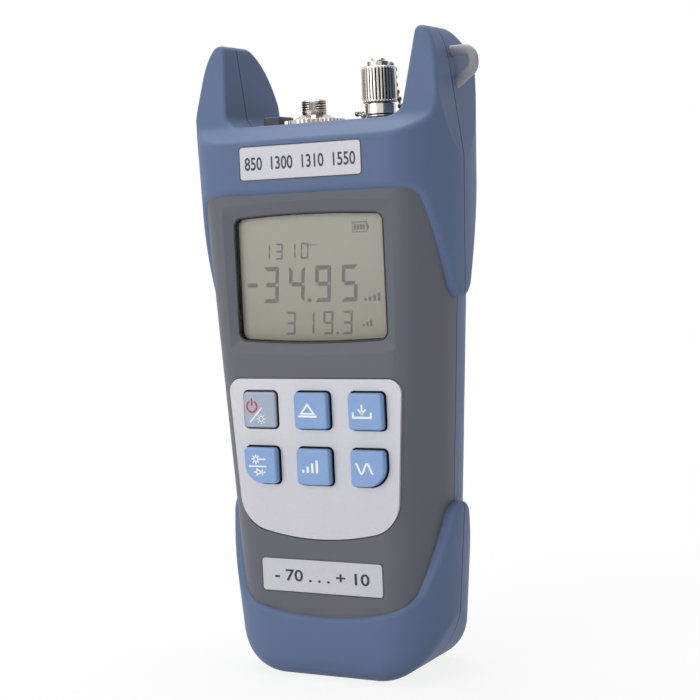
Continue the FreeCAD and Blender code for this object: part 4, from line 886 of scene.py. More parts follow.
@dataclass
class DetectorBarrel:
    """Threaded detector barrel with a keyway, turned and milled from brass."""

    neck_radius: float = 3.75
    crest_radius: float = 4.0
    thread_depth: float = 0.36
    thread_pitch: float = 0.75
    neck_height: float = 3.8
    mouth_radius: float = 2.8
    mouth_depth: float = 5.4
    sleeve_radius: float = 1.7
    chamfer: float = 0.4
    slot_width: float = 1.9
    slot_depth: float = 3.2
    slot_turn_deg: float = 20.0
    crease_deg: float = 28.0
    rows_per_pitch: int = 14
    slot_columns: int = 9
    columns: int = 168

    def profile(self, low: float, high: float) -> tuple[np.ndarray, np.ndarray]:
        """Radius and height of each row, up the outside and down the bore.

        Args:
            low: height of the tail.
            high: height of the mouth.

        Returns:
            The profile, and how fully the thread is cut at each row.
        """
        start = Seat.of("detector_flange").low[2] + self.neck_height
        stop = high - self.chamfer
        count = int((stop - start) / self.thread_pitch * self.rows_per_pitch)
        heights = np.linspace(start, stop, count)
        thread = np.stack([np.full(count, self.crest_radius), heights], axis=1)
        foot = np.array([[self.neck_radius, low], [self.neck_radius, start]])
        seat = high - self.mouth_depth
        rest = np.array([
            [self.crest_radius - self.chamfer, high], [self.mouth_radius, high], [self.mouth_radius, seat],
            [self.sleeve_radius, seat], [self.sleeve_radius, low],
        ])
        cut = smoothstep(heights, start, start + self.thread_pitch / 2)
        cut = cut * (1 - smoothstep(heights, stop - self.thread_pitch / 4, stop))
        share = np.concatenate([np.zeros(len(foot)), cut, np.zeros(len(rest))])
        return np.concatenate([foot, thread, rest]), share

    def build(self) -> Object:
        """Make the barrel.

        The radius falls from the crest by the thread depth times a triangle wave of the height over
        the pitch less the turn. Columns inside the keyway are spread evenly across its width and are
        cut off level at its floor.

        Returns:
            The barrel, which stands for the plain CAD one.
        """
        seat = Seat.of("detector_barrel")
        axis = Seat.of("detector_flange").middle
        profile, share = self.profile(seat.low[2], seat.high[2])
        radius, height = profile[:, :1], profile[:, 1:]
        half = self.slot_width / 2
        edge = np.arcsin(half / radius)
        inside = np.arcsin(np.linspace(-1, 1, self.slot_columns) * half / radius)
        outside = edge + np.linspace(0, 1, self.columns) * (2 * np.pi - 2 * edge)
        turn = np.concatenate([inside, outside], axis=1)
        floor = seat.high[2] - self.slot_depth
        in_slot = np.arange(turn.shape[1]) < self.slot_columns
        level = np.where(in_slot & (height > floor), floor, height + 0 * turn)
        reach = radius - self.thread_depth * share[:, None] * thread_wave(level, turn, self.thread_pitch)
        points = around(axis, reach, turn + math.radians(self.slot_turn_deg) - np.pi / 2, level)
        piece = make_piece(
            "threaded_barrel", Patch.closed(points), BARREL_NICKEL, Body.HOUSING,
            crease_deg=self.crease_deg,
        )
        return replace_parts(piece, "detector_barrel")


@dataclass
class LaserPort:
    """Laser port under the cap: two rings at its foot, a plain collar and the threaded stub."""

    bore_radius: float = 1.25
    tail_radius: float = 3.5
    collar_radius: float = 4.7
    collar_height: float = 5.0
    collar_low: float = 1.8
    foot_radius: float = 4.5
    foot_height: float = 0.5
    ring_radius: float = 0.4
    ring_middle: float = 1.25
    groove_radius: float = 4.0
    edge: float = 0.15
    stub_radius: float = 3.5
    thread_depth: float = 0.3
    thread_pitch: float = 0.75
    chamfer: float = 0.35
    crease_deg: float = 28.0
    ring_points: int = 9
    rows_per_pitch: int = 12
    columns: int = 120

    def build(self) -> Object:
        """Make the port: a profile turned about the axis, whose stub rows fall by the thread's wave.

        Returns:
            The port, which stands for the plain CAD one.
        """
        seat = Seat.of("laser_port")
        panel = Seat.of("detector_flange").low[2]
        low, high = seat.low[2] - panel, seat.high[2] - panel
        groove, collar, edge = self.groove_radius, self.collar_radius, self.edge
        foot = np.array([
            [self.bore_radius, low], [self.tail_radius, low], [self.tail_radius, 0], [self.foot_radius, 0],
            [self.foot_radius, self.foot_height], [self.foot_radius - edge, self.foot_height + edge],
            [groove, self.foot_height + edge],
        ])
        ring = arc((groove, self.ring_middle), self.ring_radius, -90, 90, self.ring_points)
        top = self.collar_height
        sleeve = np.array([
            [groove, self.collar_low], [collar - edge, self.collar_low], [collar, self.collar_low + edge],
            [collar, top - edge], [collar - edge, top], [self.stub_radius, top],
        ])
        stop = high - self.chamfer
        count = int((stop - top) / self.thread_pitch * self.rows_per_pitch)
        heights = np.linspace(top, stop, count)
        stub = np.stack([np.full(count, self.stub_radius), heights], axis=1)
        mouth = np.array([[self.stub_radius - self.chamfer, high], [self.bore_radius, high]])
        profile = np.concatenate([foot, ring, sleeve, stub, mouth])
        before = len(foot) + len(ring) + len(sleeve)
        cut = np.zeros((len(profile), 1))
        cut[before:before + count, 0] = smoothstep(heights, top, top + self.thread_pitch)
        turn = np.linspace(0, 2 * np.pi, self.columns, endpoint=False)
        wave = thread_wave(profile[:, 1:], turn, self.thread_pitch)
        reach = profile[:, :1] - self.thread_depth * cut * wave
        points = around(seat.middle, reach, turn, panel + profile[:, 1:])
        piece = make_piece(
            "ringed_laser_port", Patch.closed(points), PORT_NICKEL, Body.HOUSING,
            crease_deg=self.crease_deg,
        )
        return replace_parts(piece, "laser_port")


@dataclass
class ScrewRecesses:
    """Cross recesses in the heads of the four screws at the back, drawn as dark strips of painted shade."""

    low_place: Flat = (22.0, 12.0)
    high_place: Flat = (31.0, 155.0)
    length: float = 2.8
    width: float = 0.7
    proud: float = 0.02

    def build(self) -> Object:
        """Make two crossed strips on each head, facing backwards: one rectangle and its mirror image.

        Returns:
            The strips of all four screws.
        """
        back = Seat.of("shell_screws").high[1] + self.proud
        half, side = self.length / 2, self.width / 2
        flat = np.array([[[half, -side], [-half, -side]], [[half, side], [-half, side]]])
        strips = [flat, flat[..., ::-1][::-1]]
        places = [(hand * across, up) for across, up in (self.low_place, self.high_place) for hand in (-1, 1)]
        patches = [facing_front(strip + np.array(place), back) for strip in strips for place in places]
        return make_piece(
            "screw_recesses", Patch.joined(patches), RECESS_SHADE, Body.HOUSING, closed=False,
        )


@dataclass
class DustCap:
    """Ribbed screw cap over the laser port, with the headed post that holds the swivel ring."""

    rim_radius: float = 5.4
    height: float = 11.0
    bore_radius: float = 3.65
    roof: float = 3.6
    ribs: int = 32
    groove_depth: float = 0.5
    groove_share: Flat = (0.12, 0.55)
    band: float = 0.55
    low_run_in: float = 0.1
    high_run_in: float = 0.15
    round_high: float = 0.7
    round_low: float = 0.6
    low_arc_deg: Flat = (-80.0, 0.0)
    high_arc_deg: Flat = (0.0, 85.0)
    post_radius: float = 1.5
    post_height: float = 1.7
    head_radius: float = 2.2
    head_height: float = 0.8
    columns_per_rib: int = 12
    rows: int = 26
    low_arc_points: int = 6
    high_arc_points: int = 7

    def build(self) -> Object:
        """Make the cap.

        The side is a grid of turn and height. Its radius falls by the groove depth where the rib wave,
        a cosine of the turn eased to a flat-topped bar, is low, and the grooves run out near both ends.

        Returns:
            The cap, which stands for the plain CAD one.
        """
        seat = Seat.of("laser_cap")
        top = self.height - self.round_high
        low_centre = (self.rim_radius - self.round_low, self.round_low)
        low_edge = arc(low_centre, self.round_low, *self.low_arc_deg, self.low_arc_points)
        side = np.linspace(self.round_low + self.band / 2, top - self.band / 2, self.rows)
        wall = np.stack([np.full(self.rows, self.rim_radius), side], axis=1)
        high_centre = (self.rim_radius - self.round_high, top)
        high_edge = arc(high_centre, self.round_high, *self.high_arc_deg, self.high_arc_points)
        post_top = self.height + self.post_height
        head_top = post_top + self.head_height
        crown = self.head_height / 3
        post = np.array([
            [self.post_radius, self.height], [self.post_radius, post_top],
            [self.head_radius - crown, post_top], [self.head_radius, post_top + crown],
            [self.head_radius, head_top - crown], [self.head_radius - crown, head_top], [0, head_top],
        ])
        ceiling = self.height - self.roof
        inside = np.array([[0, ceiling], [self.bore_radius, ceiling], [self.bore_radius, 0]])
        profile = np.concatenate([low_edge, wall, high_edge, post, inside])
        radius, height = profile[:, :1], profile[:, 1:]
        turn = np.linspace(0, 2 * np.pi, self.ribs * self.columns_per_rib, endpoint=False)
        bar = smoothstep(0.5 + 0.5 * np.cos(self.ribs * turn), *self.groove_share)
        row = np.arange(len(profile))[:, None]
        outer_rows = len(low_edge) + self.rows + len(high_edge)
        on_side = (row < outer_rows) & (radius > self.rim_radius - self.round_high)
        run = smoothstep(height, self.low_run_in, self.round_low + self.band)
        run = run * (1 - smoothstep(height, top - self.band, self.height - self.high_run_in))
        reach = radius - self.groove_depth * (1 - bar) * run * on_side
        points = around(seat.middle, reach, turn, seat.low[2] + height)
        piece = make_piece("ribbed_dust_cap", Patch.closed(points), CAP_NICKEL, Body.CAP)
        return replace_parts(piece, "laser_cap")


@dataclass
class BeadChain:
    """Bead chain that ties the dust cap to its anchor on the panel.

    The rows of hang are a turn about the port, a reach from its axis and a height over the lying
    beads. The rows of heap are places about the anchor, across, deep and over the lying beads.
    """

    bead_diameter: float = 1.8
    wire_diameter: float = 0.7
    bead_pitch: float = 2.3
    ear_turn_deg: float = 75.0
    ear_reach: float = 5.9
    hang_radius: float = 7.6
    hang: tuple[Place, ...] = (
        (77.0, 7.5, 11.0), (70.0, 7.4, 7.5), (60.0, 7.3, 4.5), (54.0, 7.2, 0.0), (66.0, 7.4, 0.0),
    )
    heap: tuple[Place, ...] = (
        (5.2, 1.1, 0.0), (1.2, 3.0, 1.2), (-2.4, 1.9, 2.3), (-2.7, -0.6, 2.0), (-0.2, 0.0, 1.2),
    )
    rest_gap: float = 0.05
    line_points: int = 24
    bead_rows: int = 12
    bead_columns: int = 20
    wire_columns: int = 10
    wire_side: Place = (0.6, 0.8, 0.0)

    def route(self) -> np.ndarray:
        """Control points of the chain's line: out from the ring, down behind the cap, over the panel.

        Returns:
            Points in millimetres.
        """
        ring = Seat.of("swivel_ring").middle[2]
        anchor = Seat.of("chain_anchor").middle
        floor = Seat.of("detector_flange").low[2] + self.bead_diameter / 2 + self.rest_gap
        ear = [(self.ear_turn_deg, reach, ring - floor) for reach in (self.ear_reach, self.hang_radius)]
        turn, reach, rise = np.array([*ear, *self.hang]).T
        hanging = around(Seat.of("laser_port").middle, reach, np.radians(turn), floor + rise)
        return np.concatenate([hanging, np.array(self.heap) + np.array([anchor[0], anchor[1], floor])])

    def line(self) -> np.ndarray:
        """Points along the NURBS curve of the route, as Blender works them out.

        Returns:
            Points in millimetres.
        """
        route = self.route()
        data = bpy.data.curves.new("chain_line", "CURVE")
        data.dimensions = "3D"
        data.resolution_u = self.line_points
        spline = data.splines.new("NURBS")
        spline.points.add(len(route) - 1)
        spline.points.foreach_set("co", np.column_stack([route, np.ones(len(route))]).ravel())
        spline.order_u = 3
        spline.use_endpoint_u = True
        drawn = drawn_mesh(data)
        points = vertices_of(drawn)
        bpy.data.meshes.remove(drawn)
        return points

    def beads(self, line: np.ndarray) -> list[Patch]:
        """Copies of one sphere grid, set at even lengths along the line.

        Args:
            line: points along the chain.

        Returns:
            One patch for each bead.
        """
        steps = np.linalg.norm(np.diff(line, axis=0), axis=1)
        run = np.concatenate([[0], np.cumsum(steps)])
        count = int(round(run[-1] / self.bead_pitch)) + 1
        marks = np.linspace(0, run[-1], count)
        spots = np.stack([np.interp(marks, run, line[:, axis]) for axis in range(3)], axis=1)
        down = np.linspace(0, np.pi, self.bead_rows)[:, None]
        turn = np.linspace(0, 2 * np.pi, self.bead_columns, endpoint=False)
        radius = self.bead_diameter / 2
        ball = around(np.zeros(2), radius * np.sin(down), turn, radius * np.cos(down))
        return [Patch.grid(ball + spot, wrap_columns=True) for spot in spots]

    def wire(self, line: np.ndarray) -> Patch:
        """A circle carried along the line on two directions square to it.

        Args:
            line: points along the chain.

        Returns:
            The wire.
        """
        along = unit(np.gradient(line, axis=0))
        aside = unit(np.cross(along, np.array(self.wire_side)))
        across = np.cross(along, aside)
        turn = np.linspace(0, 2 * np.pi, self.wire_columns, endpoint=False)[None, :, None]
        offset = aside[:, None] * np.cos(turn) + across[:, None] * np.sin(turn)
        return Patch.grid(line[:, None] + self.wire_diameter / 2 * offset, wrap_columns=True)

    def build(self) -> Object:
        """Make the chain out of its beads and its wire.

        Returns:
            The chain, which stands for the CAD one.
        """
        line = self.line()
        patch = Patch.joined([*self.beads(line), self.wire(line)])
        piece = make_piece("bead_chain_links", patch, CHAIN_NICKEL, None, crease_deg=180.0)
        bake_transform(piece)
        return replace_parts(piece, "bead_chain")


@dataclass
class Display:
    """Black trim of the window: the mask printed on its back, and the seal round its opening, partly a rubber
    seal and partly painted shade on the opening's wall.
    """

    window_half: float = 25.5
    window_low: float = 104.8
    window_high: float = 141.8
    window_bow: float = 360.0
    window_corner: float = 2.5
    mask_inset: float = 0.3
    mask_reach: float = 1.3
    mask_clear: float = 0.015
    seal_width: float = 0.5
    seal_middle: float = 0.15
    seal_proud: float = 0.12
    seal_depth: float = 1.05
    seal_clear: float = 0.01
    skirt_inner: float = 0.02
    skirt_outer: float = 0.09
    corner_points: int = 10
    bow_points: int = 24
    lip_points: int = 9

    def outline(self, grow: float) -> np.ndarray:
        """Outline of the window grown by a distance: four corner arcs and two bowed edges, all tangent.

        A corner arc's centre lies on the bow's radius line, so growing the outline only grows the radii.

        Args:
            grow: how far outside the window's edge.

        Returns:
            Points across and up, anticlockwise from the right side.
        """
        inner = self.window_half - self.window_corner
        tilt = math.asin(inner / (self.window_bow - self.window_corner))
        drop = math.sqrt(self.window_bow ** 2 - self.window_half ** 2)
        rise = (self.window_bow - self.window_corner) * math.cos(tilt)
        top, bottom = self.window_high - drop, self.window_low + drop
        corner = self.window_corner + grow
        bow = self.window_bow + grow
        lean = math.degrees(tilt)
        few, many = self.corner_points, self.bow_points
        return np.concatenate([
            arc((inner, top + rise), corner, 0, 90 - lean, few),
            arc((0, top), bow, 90 - lean, 90 + lean, many)[1:],
            arc((-inner, top + rise), corner, 90 + lean, 180, few)[1:],
            arc((-inner, bottom - rise), corner, 180, 270 - lean, few),
            arc((0, bottom), bow, 270 - lean, 270 + lean, many)[1:],
            arc((inner, bottom - rise), corner, 270 + lean, 360, few)[1:],
        ])

    def ring(self, section: list[Flat]) -> np.ndarray:
        """Carry a section of outward distance and depth round the window's outline."""
        return np.stack([np.insert(self.outline(grow), 1, depth, axis=1) for grow, depth in section])

    def build_mask(self) -> Object:
        """Make the black border printed on the back of the window: a flat ring along its outline.

        Returns:
            The mask.
        """
        back = Seat.of("display_window").high[1] + self.mask_clear
        patch = Patch.grid(self.ring([(self.mask_reach, back), (-self.mask_inset, back)]), wrap_columns=True)
        return make_piece("window_mask", patch, MASK_INK, Body.HOUSING, closed=False)

    def build_seal(self) -> Object:
        """Make the black seal: a rounded lip on the ledge and a skirt down the gap, one section swept; the
        black skirt is painted shade on the wall of the opening.

        Returns:
            The seal.
        """
        front = Seat.of("display_window").low[1] - self.seal_clear
        half = self.seal_width / 2
        lip = arc((self.seal_middle, 0.0), half, 180, 360, self.lip_points)
        lip = lip * np.array([1, self.seal_proud / half]) + np.array([0, front])
        inner, outer, deep = self.skirt_inner, self.skirt_outer, front + self.seal_depth
        # Painted shade: the black skirt covers the wall of the opening, which falls in shade
        skirt = [(outer, front), (outer, deep), (inner, deep), (inner, front)]
        patch = Patch.closed(self.ring([*lip.tolist(), *skirt]))
        return make_piece("window_seal", patch, SEAL_RUBBER_AND_SHADE, Body.HOUSING)


class Segment(Enum):
    """Bars of a seven-bar digit, each by its four corners.

    A corner is given as shares of the cell across and up, and then as bar widths to add across and up.
    """

    TOP = ((0, 1, 0.1, 0), (0, 1, 1.0, -1), (1, 1, -1.0, -1), (1, 1, -0.1, 0))
    BOTTOM = ((0, 0, 0.1, 0), (1, 0, -0.1, 0), (1, 0, -1.0, 1), (0, 0, 1.0, 1))
    UPPER_RIGHT = ((1, 1, 0, -0.12), (1, 1, -0.95, -1.05), (1, 0.5, -0.95, 0.55), (1, 0.5, 0, 0.1))
    LOWER_RIGHT = ((1, 0.5, 0, -0.1), (1, 0.5, -0.95, -0.55), (1, 0, -0.95, 1.05), (1, 0, 0, 0.12))
    UPPER_LEFT = ((0, 1, 0, -0.12), (0, 0.5, 0, 0.1), (0, 0.5, 0.95, 0.55), (0, 1, 0.95, -1.05))
    LOWER_LEFT = ((0, 0.5, 0, -0.1), (0, 0, 0, 0.12), (0, 0, 0.95, 1.05), (0, 0.5, 0.95, -0.55))
    MIDDLE = ((0, 0.5, 0.75, -0.5), (1, 0.5, -0.75, -0.5), (1, 0.5, -0.75, 0.5), (0, 0.5, 0.75, 0.5))


DIGIT_SEGMENTS = {
    "0": "TOP UPPER_RIGHT LOWER_RIGHT BOTTOM LOWER_LEFT UPPER_LEFT",
    "1": "UPPER_RIGHT LOWER_RIGHT",
    "3": "TOP UPPER_RIGHT MIDDLE LOWER_RIGHT BOTTOM",
    "4": "UPPER_LEFT UPPER_RIGHT MIDDLE LOWER_RIGHT",
    "5": "TOP UPPER_LEFT MIDDLE LOWER_RIGHT BOTTOM",
    "9": "TOP UPPER_RIGHT UPPER_LEFT MIDDLE LOWER_RIGHT BOTTOM",
}


@dataclass(frozen=True)
class DigitRow:
    """One row of seven-bar digits on the display, set by its lower right corner."""

    text: str
    right: float
    low: float
    pitch: float
    width: float
    height: float
    bar: float
    lean_deg: float = 4.0

    def leaned(self, flat: np.ndarray) -> np.ndarray:
        """Shear points across in proportion to their height over the row's foot."""
        shift = (flat[..., 1] - self.low) * math.tan(math.radians(self.lean_deg))
        return np.stack([flat[..., 0] + shift, flat[..., 1]], axis=-1)

    def bar_patch(self, segment: Segment, left: float, front: float) -> Patch:
        """One bar: a quad with mitred ends, leaning with the row.

        Args:
            segment: which bar of the digit.
            left: left edge of the digit's cell.
            front: depth of the display's face.

        Returns:
            The bar as one quad.
        """
        corners = np.array(segment.value)
        flat = corners[:, :2] * np.array([self.width, self.height]) + corners[:, 2:] * self.bar
        flat = self.leaned(flat + np.array([left, self.low]))
        return facing_front(flat[[[0, 1], [3, 2]]], front)

    def point_patch(self, across: float, front: float) -> Patch:
        """Decimal point: a square as wide as a bar, leaning with the row.

        Args:
            across: middle of the point.
            front: depth of the display's face.

        Returns:
            The point as one quad.
        """
        half = self.bar / 2
        flat = np.array([[[-half, 0], [half, 0]], [[-half, self.bar], [half, self.bar]]])
        return facing_front(self.leaned(flat + np.array([across, self.low])), front)

    def patches(self, front: float) -> list[Patch]:
        """Bars and points of the whole row, counted from its right end.

        Args:
            front: depth of the display's face.

        Returns:
            One patch for each bar and point.
        """
        cells = [sign for sign in self.text if sign != "."]
        lefts = self.right - self.width - self.pitch * np.arange(len(cells))[::-1]
        made = []
        for sign, left in zip(cells, lefts):
            made += [self.bar_patch(Segment[name], left, front) for name in DIGIT_SEGMENTS[sign].split()]
        for number, sign in enumerate(self.text):
            if sign == ".":
                dot = lefts[number - 1] + self.width + (self.pitch - self.width) / 2
                made.append(self.point_patch(dot, front))
        return made


@dataclass(frozen=True)
class BarSet:
    """Row of upright bars on the display, each taller than the one before by the same rise."""

    count: int
    left: float
    low: float
    pitch: float
    width: float
    height: float
    rise: float = 0.0

    def patches(self, front: float) -> list[Patch]:
        """One filled rectangle for each bar, a pitch apart.

        Args:
            front: depth of the display's face.

        Returns:
            The bars.
        """
        numbers = np.arange(self.count)
        lefts = self.left + self.pitch * numbers
        heights = self.height + self.rise * numbers
        return [box_patch(left, self.low, self.width, tall, front) for left, tall in zip(lefts, heights)]


@dataclass
class DisplayReading:
    """Segments that are dark on the display: three rows of digits and small generic signs."""

    rows: tuple[DigitRow, ...] = (
        DigitRow("1310", right=-1.1, low=129.0, pitch=4.5, width=2.7, height=4.9, bar=0.58),
        DigitRow("34.95", right=15.0, low=115.8, pitch=9.1, width=5.5, height=11.1, bar=1.3),
        DigitRow("319.3", right=12.8, low=106.0, pitch=6.55, width=3.5, height=7.1, bar=0.76),
    )
    # Level bars after the two lower rows, and dots after the upper one
    levels: tuple[BarSet, ...] = (
        BarSet(4, left=17.2, low=115.9, pitch=1.55, width=0.95, height=0.8, rise=0.55),
        BarSet(3, left=16.4, low=108.4, pitch=1.25, width=0.75, height=0.7, rise=0.6),
        BarSet(3, left=-0.6, low=132.9, pitch=1.0, width=0.6, height=0.45),
    )
    front_gap: float = 0.02
    minus_left: float = -23.0
    minus_low: float = 120.7
    minus_length: float = 3.6
    minus_bar: float = 1.3
    battery_left: float = 14.4
    battery_low: float = 136.5
    battery_width: float = 4.9
    battery_height: float = 2.9
    battery_line: float = 0.28
    battery_nub: float = 0.5
    battery_gap: float = 0.6
    battery_bars: int = 4
    battery_fill: float = 3.9
    battery_bar_share: float = 0.7

    def battery(self, front: float) -> list[Patch]:
        """Battery: a frame stroked along a rectangle, a nub at its end and bars inside.

        Args:
            front: depth of the display's face.

        Returns:
            One patch for each stroke.
        """
        left, low = self.battery_left, self.battery_low
        width, height = self.battery_width, self.battery_height
        path = np.array([[0, 0], [width, 0], [width, height], [0, height]]) + np.array([left, low])
        frame_patch = facing_front(stroke(path, self.battery_line, closed=True), front, closed=True)
        nub_left = left + width + self.battery_line / 2
        nub = box_patch(nub_left, low + height / 4, self.battery_nub, height / 2, front)
        step = self.battery_fill / self.battery_bars
        gap = self.battery_gap
        bars = BarSet(
            self.battery_bars, left + gap, low + gap, step, step * self.battery_bar_share, height - 2 * gap,
        )
        return [frame_patch, nub, *bars.patches(front)]

    def build(self) -> Object:
        """Make all dark segments as one piece just in front of the glass.

        Returns:
            The segments.
        """
        front = Seat.of("lcd_panel").low[1] - self.front_gap
        minus = box_patch(self.minus_left, self.minus_low, self.minus_length, self.minus_bar, front)
        patches = [minus, *self.battery(front)]
        for row in (*self.levels, *self.rows):
            patches += row.patches(front)
        return make_piece(
            "display_segments", Patch.joined(patches), DIGIT_INK, Body.HOUSING, closed=False,
        )


class Mark(Enum):
    """Keys with a white sign, by their CAD nodes."""

    REFERENCE = "key_reference"
    SAVE = "key_save"
    LASER = "key_laser"
    DECIBEL = "key_decibel"
    WAVELENGTH = "key_wavelength"


@dataclass
class KeyMarks:
    """White and red signs printed on the keys, in strokes about each key's middle."""

    line: float = 0.62
    thin: float = 0.45
    bar_line: float = 0.806
    ink: float = 0.003
    shift_across: float = -0.9
    shift_up: float = 0.1
    star_middle: Flat = (-0.5, 1.9)
    star_rays: Flat = (0.5, 1.5)
    wave_half: float = 2.9
    wave_height: float = 1.5
    wave_count: float = 1.5
    wave_points: int = 40
    standby_middle: Flat = (-1.8, 0.9)
    standby_radius: float = 1.75
    standby_arc_deg: Flat = (120.0, 420.0)
    standby_points: int = 40
    standby_bar: Flat = (1.1, 3.5)
    standby_line: float = 0.6
    slash_line: float = 0.4
    sun_middle: Flat = (1.3, -2.9)
    sun_radius: float = 0.75
    sun_points: int = 20
    sun_line: float = 0.3
    sun_rays: Flat = (1.15, 1.6)
    sun_ray_line: float = 0.28
    ray_step_deg: float = 45.0

    @staticmethod
    def shut(ribbon: np.ndarray) -> np.ndarray:
        """Repeat the first points of a closed ribbon at its end."""
        return np.concatenate([ribbon, ribbon[:, :1]], axis=1)

    def rays(self, middle: Flat, ends: Flat) -> list[np.ndarray]:
        """Short lines that point away from a middle: its place plus each end times cosine and sine.

        Args:
            middle: where the rays would meet.
            ends: distances at which a ray starts and ends.

        Returns:
            One path of two points for each ray.
        """
        turns = np.radians(np.arange(0, 360, self.ray_step_deg))
        return [np.array(middle) + np.outer(ends, [math.cos(turn), math.sin(turn)]) for turn in turns]

    def reference(self) -> list[np.ndarray]:
        """A triangle on a base line, for a reading set to nought.

        Returns:
            Ribbons of the sign.
        """
        base = np.array([[-3.2, -1.7], [3.2, -1.7]])
        peak = np.array([[-2.2, -0.9], [0, 1.9], [2.2, -0.9]])
        return [stroke(base, self.line), self.shut(stroke(peak, self.line, closed=True))]

    def save(self) -> list[np.ndarray]:
        """An arrow down into a tray.

        Returns:
            Ribbons of the sign.
        """
        tray = np.array([[-3.0, -0.2], [-3.0, -1.8], [3.0, -1.8], [3.0, -0.2]])
        head = np.array([[-1.3, 0.7], [0, -0.7], [1.3, 0.7]])
        shaft = np.array([[0, 2.1], [0, -0.5]])
        return [stroke(path, self.line) for path in (tray, head, shaft)]

    def laser(self) -> list[np.ndarray]:
        """A beam that ends in a star, over a line, and a diode under it.

        Returns:
            Ribbons of the sign.
        """
        beam = np.array([[1.0, 1.9], [3.0, 1.9]])
        rule = np.array([[-3.2, -0.3], [3.2, -0.3]])
        diode = np.array([[-0.3, -3.0], [1.4, -2.1], [-0.3, -1.2]])
        bar = np.array([[1.7, -3.0], [1.7, -1.2]])
        leads = [np.array([[-1.4, -2.1], [-0.3, -2.1]]), np.array([[1.7, -2.1], [2.8, -2.1]])]
        paths = [beam, rule, bar, *self.rays(self.star_middle, self.star_rays), *leads]
        triangle = self.shut(stroke(diode, self.thin, closed=True))
        return [*(stroke(path, self.thin) for path in paths), triangle]

    def decibel(self) -> list[np.ndarray]:
        """Four bars that rise.

        Returns:
            Ribbons of the sign.
        """
        low, tops = -1.8, (-0.9, 0.1, 1.1, 2.1)
        places = np.linspace(-2.4, 2.4, len(tops))
        return [stroke(np.array([[x, low], [x, top]]), self.bar_line) for x, top in zip(places, tops)]

    def wavelength(self) -> list[np.ndarray]:
        """One and a half waves of a sine line: height times the sine of the way across.

        Returns:
            Ribbons of the sign.
        """
        across = np.linspace(-self.wave_half, self.wave_half, self.wave_points)
        up = self.wave_height * np.sin(across * self.wave_count * np.pi / self.wave_half)
        return [stroke(np.stack([across, up], axis=1), self.line)]

    def place(self, node: str, ribbons: list[np.ndarray], finish: Finish, name: str) -> Object:
        """Print ribbons on the face of a key.

        Args:
            node: CAD node of the key.
            ribbons: flat ribbons about the middle of the key.
            finish: ink of the mark.
            name: name of the piece.

        Returns:
            The mark, riding on the key.
        """
        seat = Seat.of(node)
        centre = np.array([seat.middle[0] + self.shift_across, seat.middle[2] + self.shift_up])
        front = seat.low[1] - self.ink
        patch = Patch.joined([facing_front(ribbon + centre, front) for ribbon in ribbons])
        piece = add_piece(name, patch.mesh(name), finish, None)
        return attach(piece, node + "_body")

    def build_power(self) -> None:
        """Make the red standby sign, and a white slash and sun beside it."""
        across = self.standby_middle[0]
        circle = arc(self.standby_middle, self.standby_radius, *self.standby_arc_deg, self.standby_points)
        bar = np.array([[across, up] for up in self.standby_bar])
        standby = [stroke(path, self.standby_line) for path in (circle, bar)]
        self.place("key_power", standby, MARK_RED, "mark_standby")
        slash = stroke(np.array([[-2.7, -4.0], [1.7, 0.6]]), self.slash_line)
        last_deg = 360 - 360 / self.sun_points
        disc = arc(self.sun_middle, self.sun_radius, 0, last_deg, self.sun_points)
        sun = [self.shut(stroke(disc, self.sun_line, closed=True))]
        sun += [stroke(ray, self.sun_ray_line) for ray in self.rays(self.sun_middle, self.sun_rays)]
        self.place("key_power", [slash, *sun], MARK_WHITE, "mark_light")

    def build(self) -> None:
        """Mark all six keys."""
        signs = {
            Mark.REFERENCE: self.reference(), Mark.SAVE: self.save(), Mark.LASER: self.laser(),
            Mark.DECIBEL: self.decibel(), Mark.WAVELENGTH: self.wavelength(),
        }
        for mark, ribbons in signs.items():
            self.place(mark.value, ribbons, MARK_WHITE, mark.value.replace("key", "mark"))
        self.build_power()


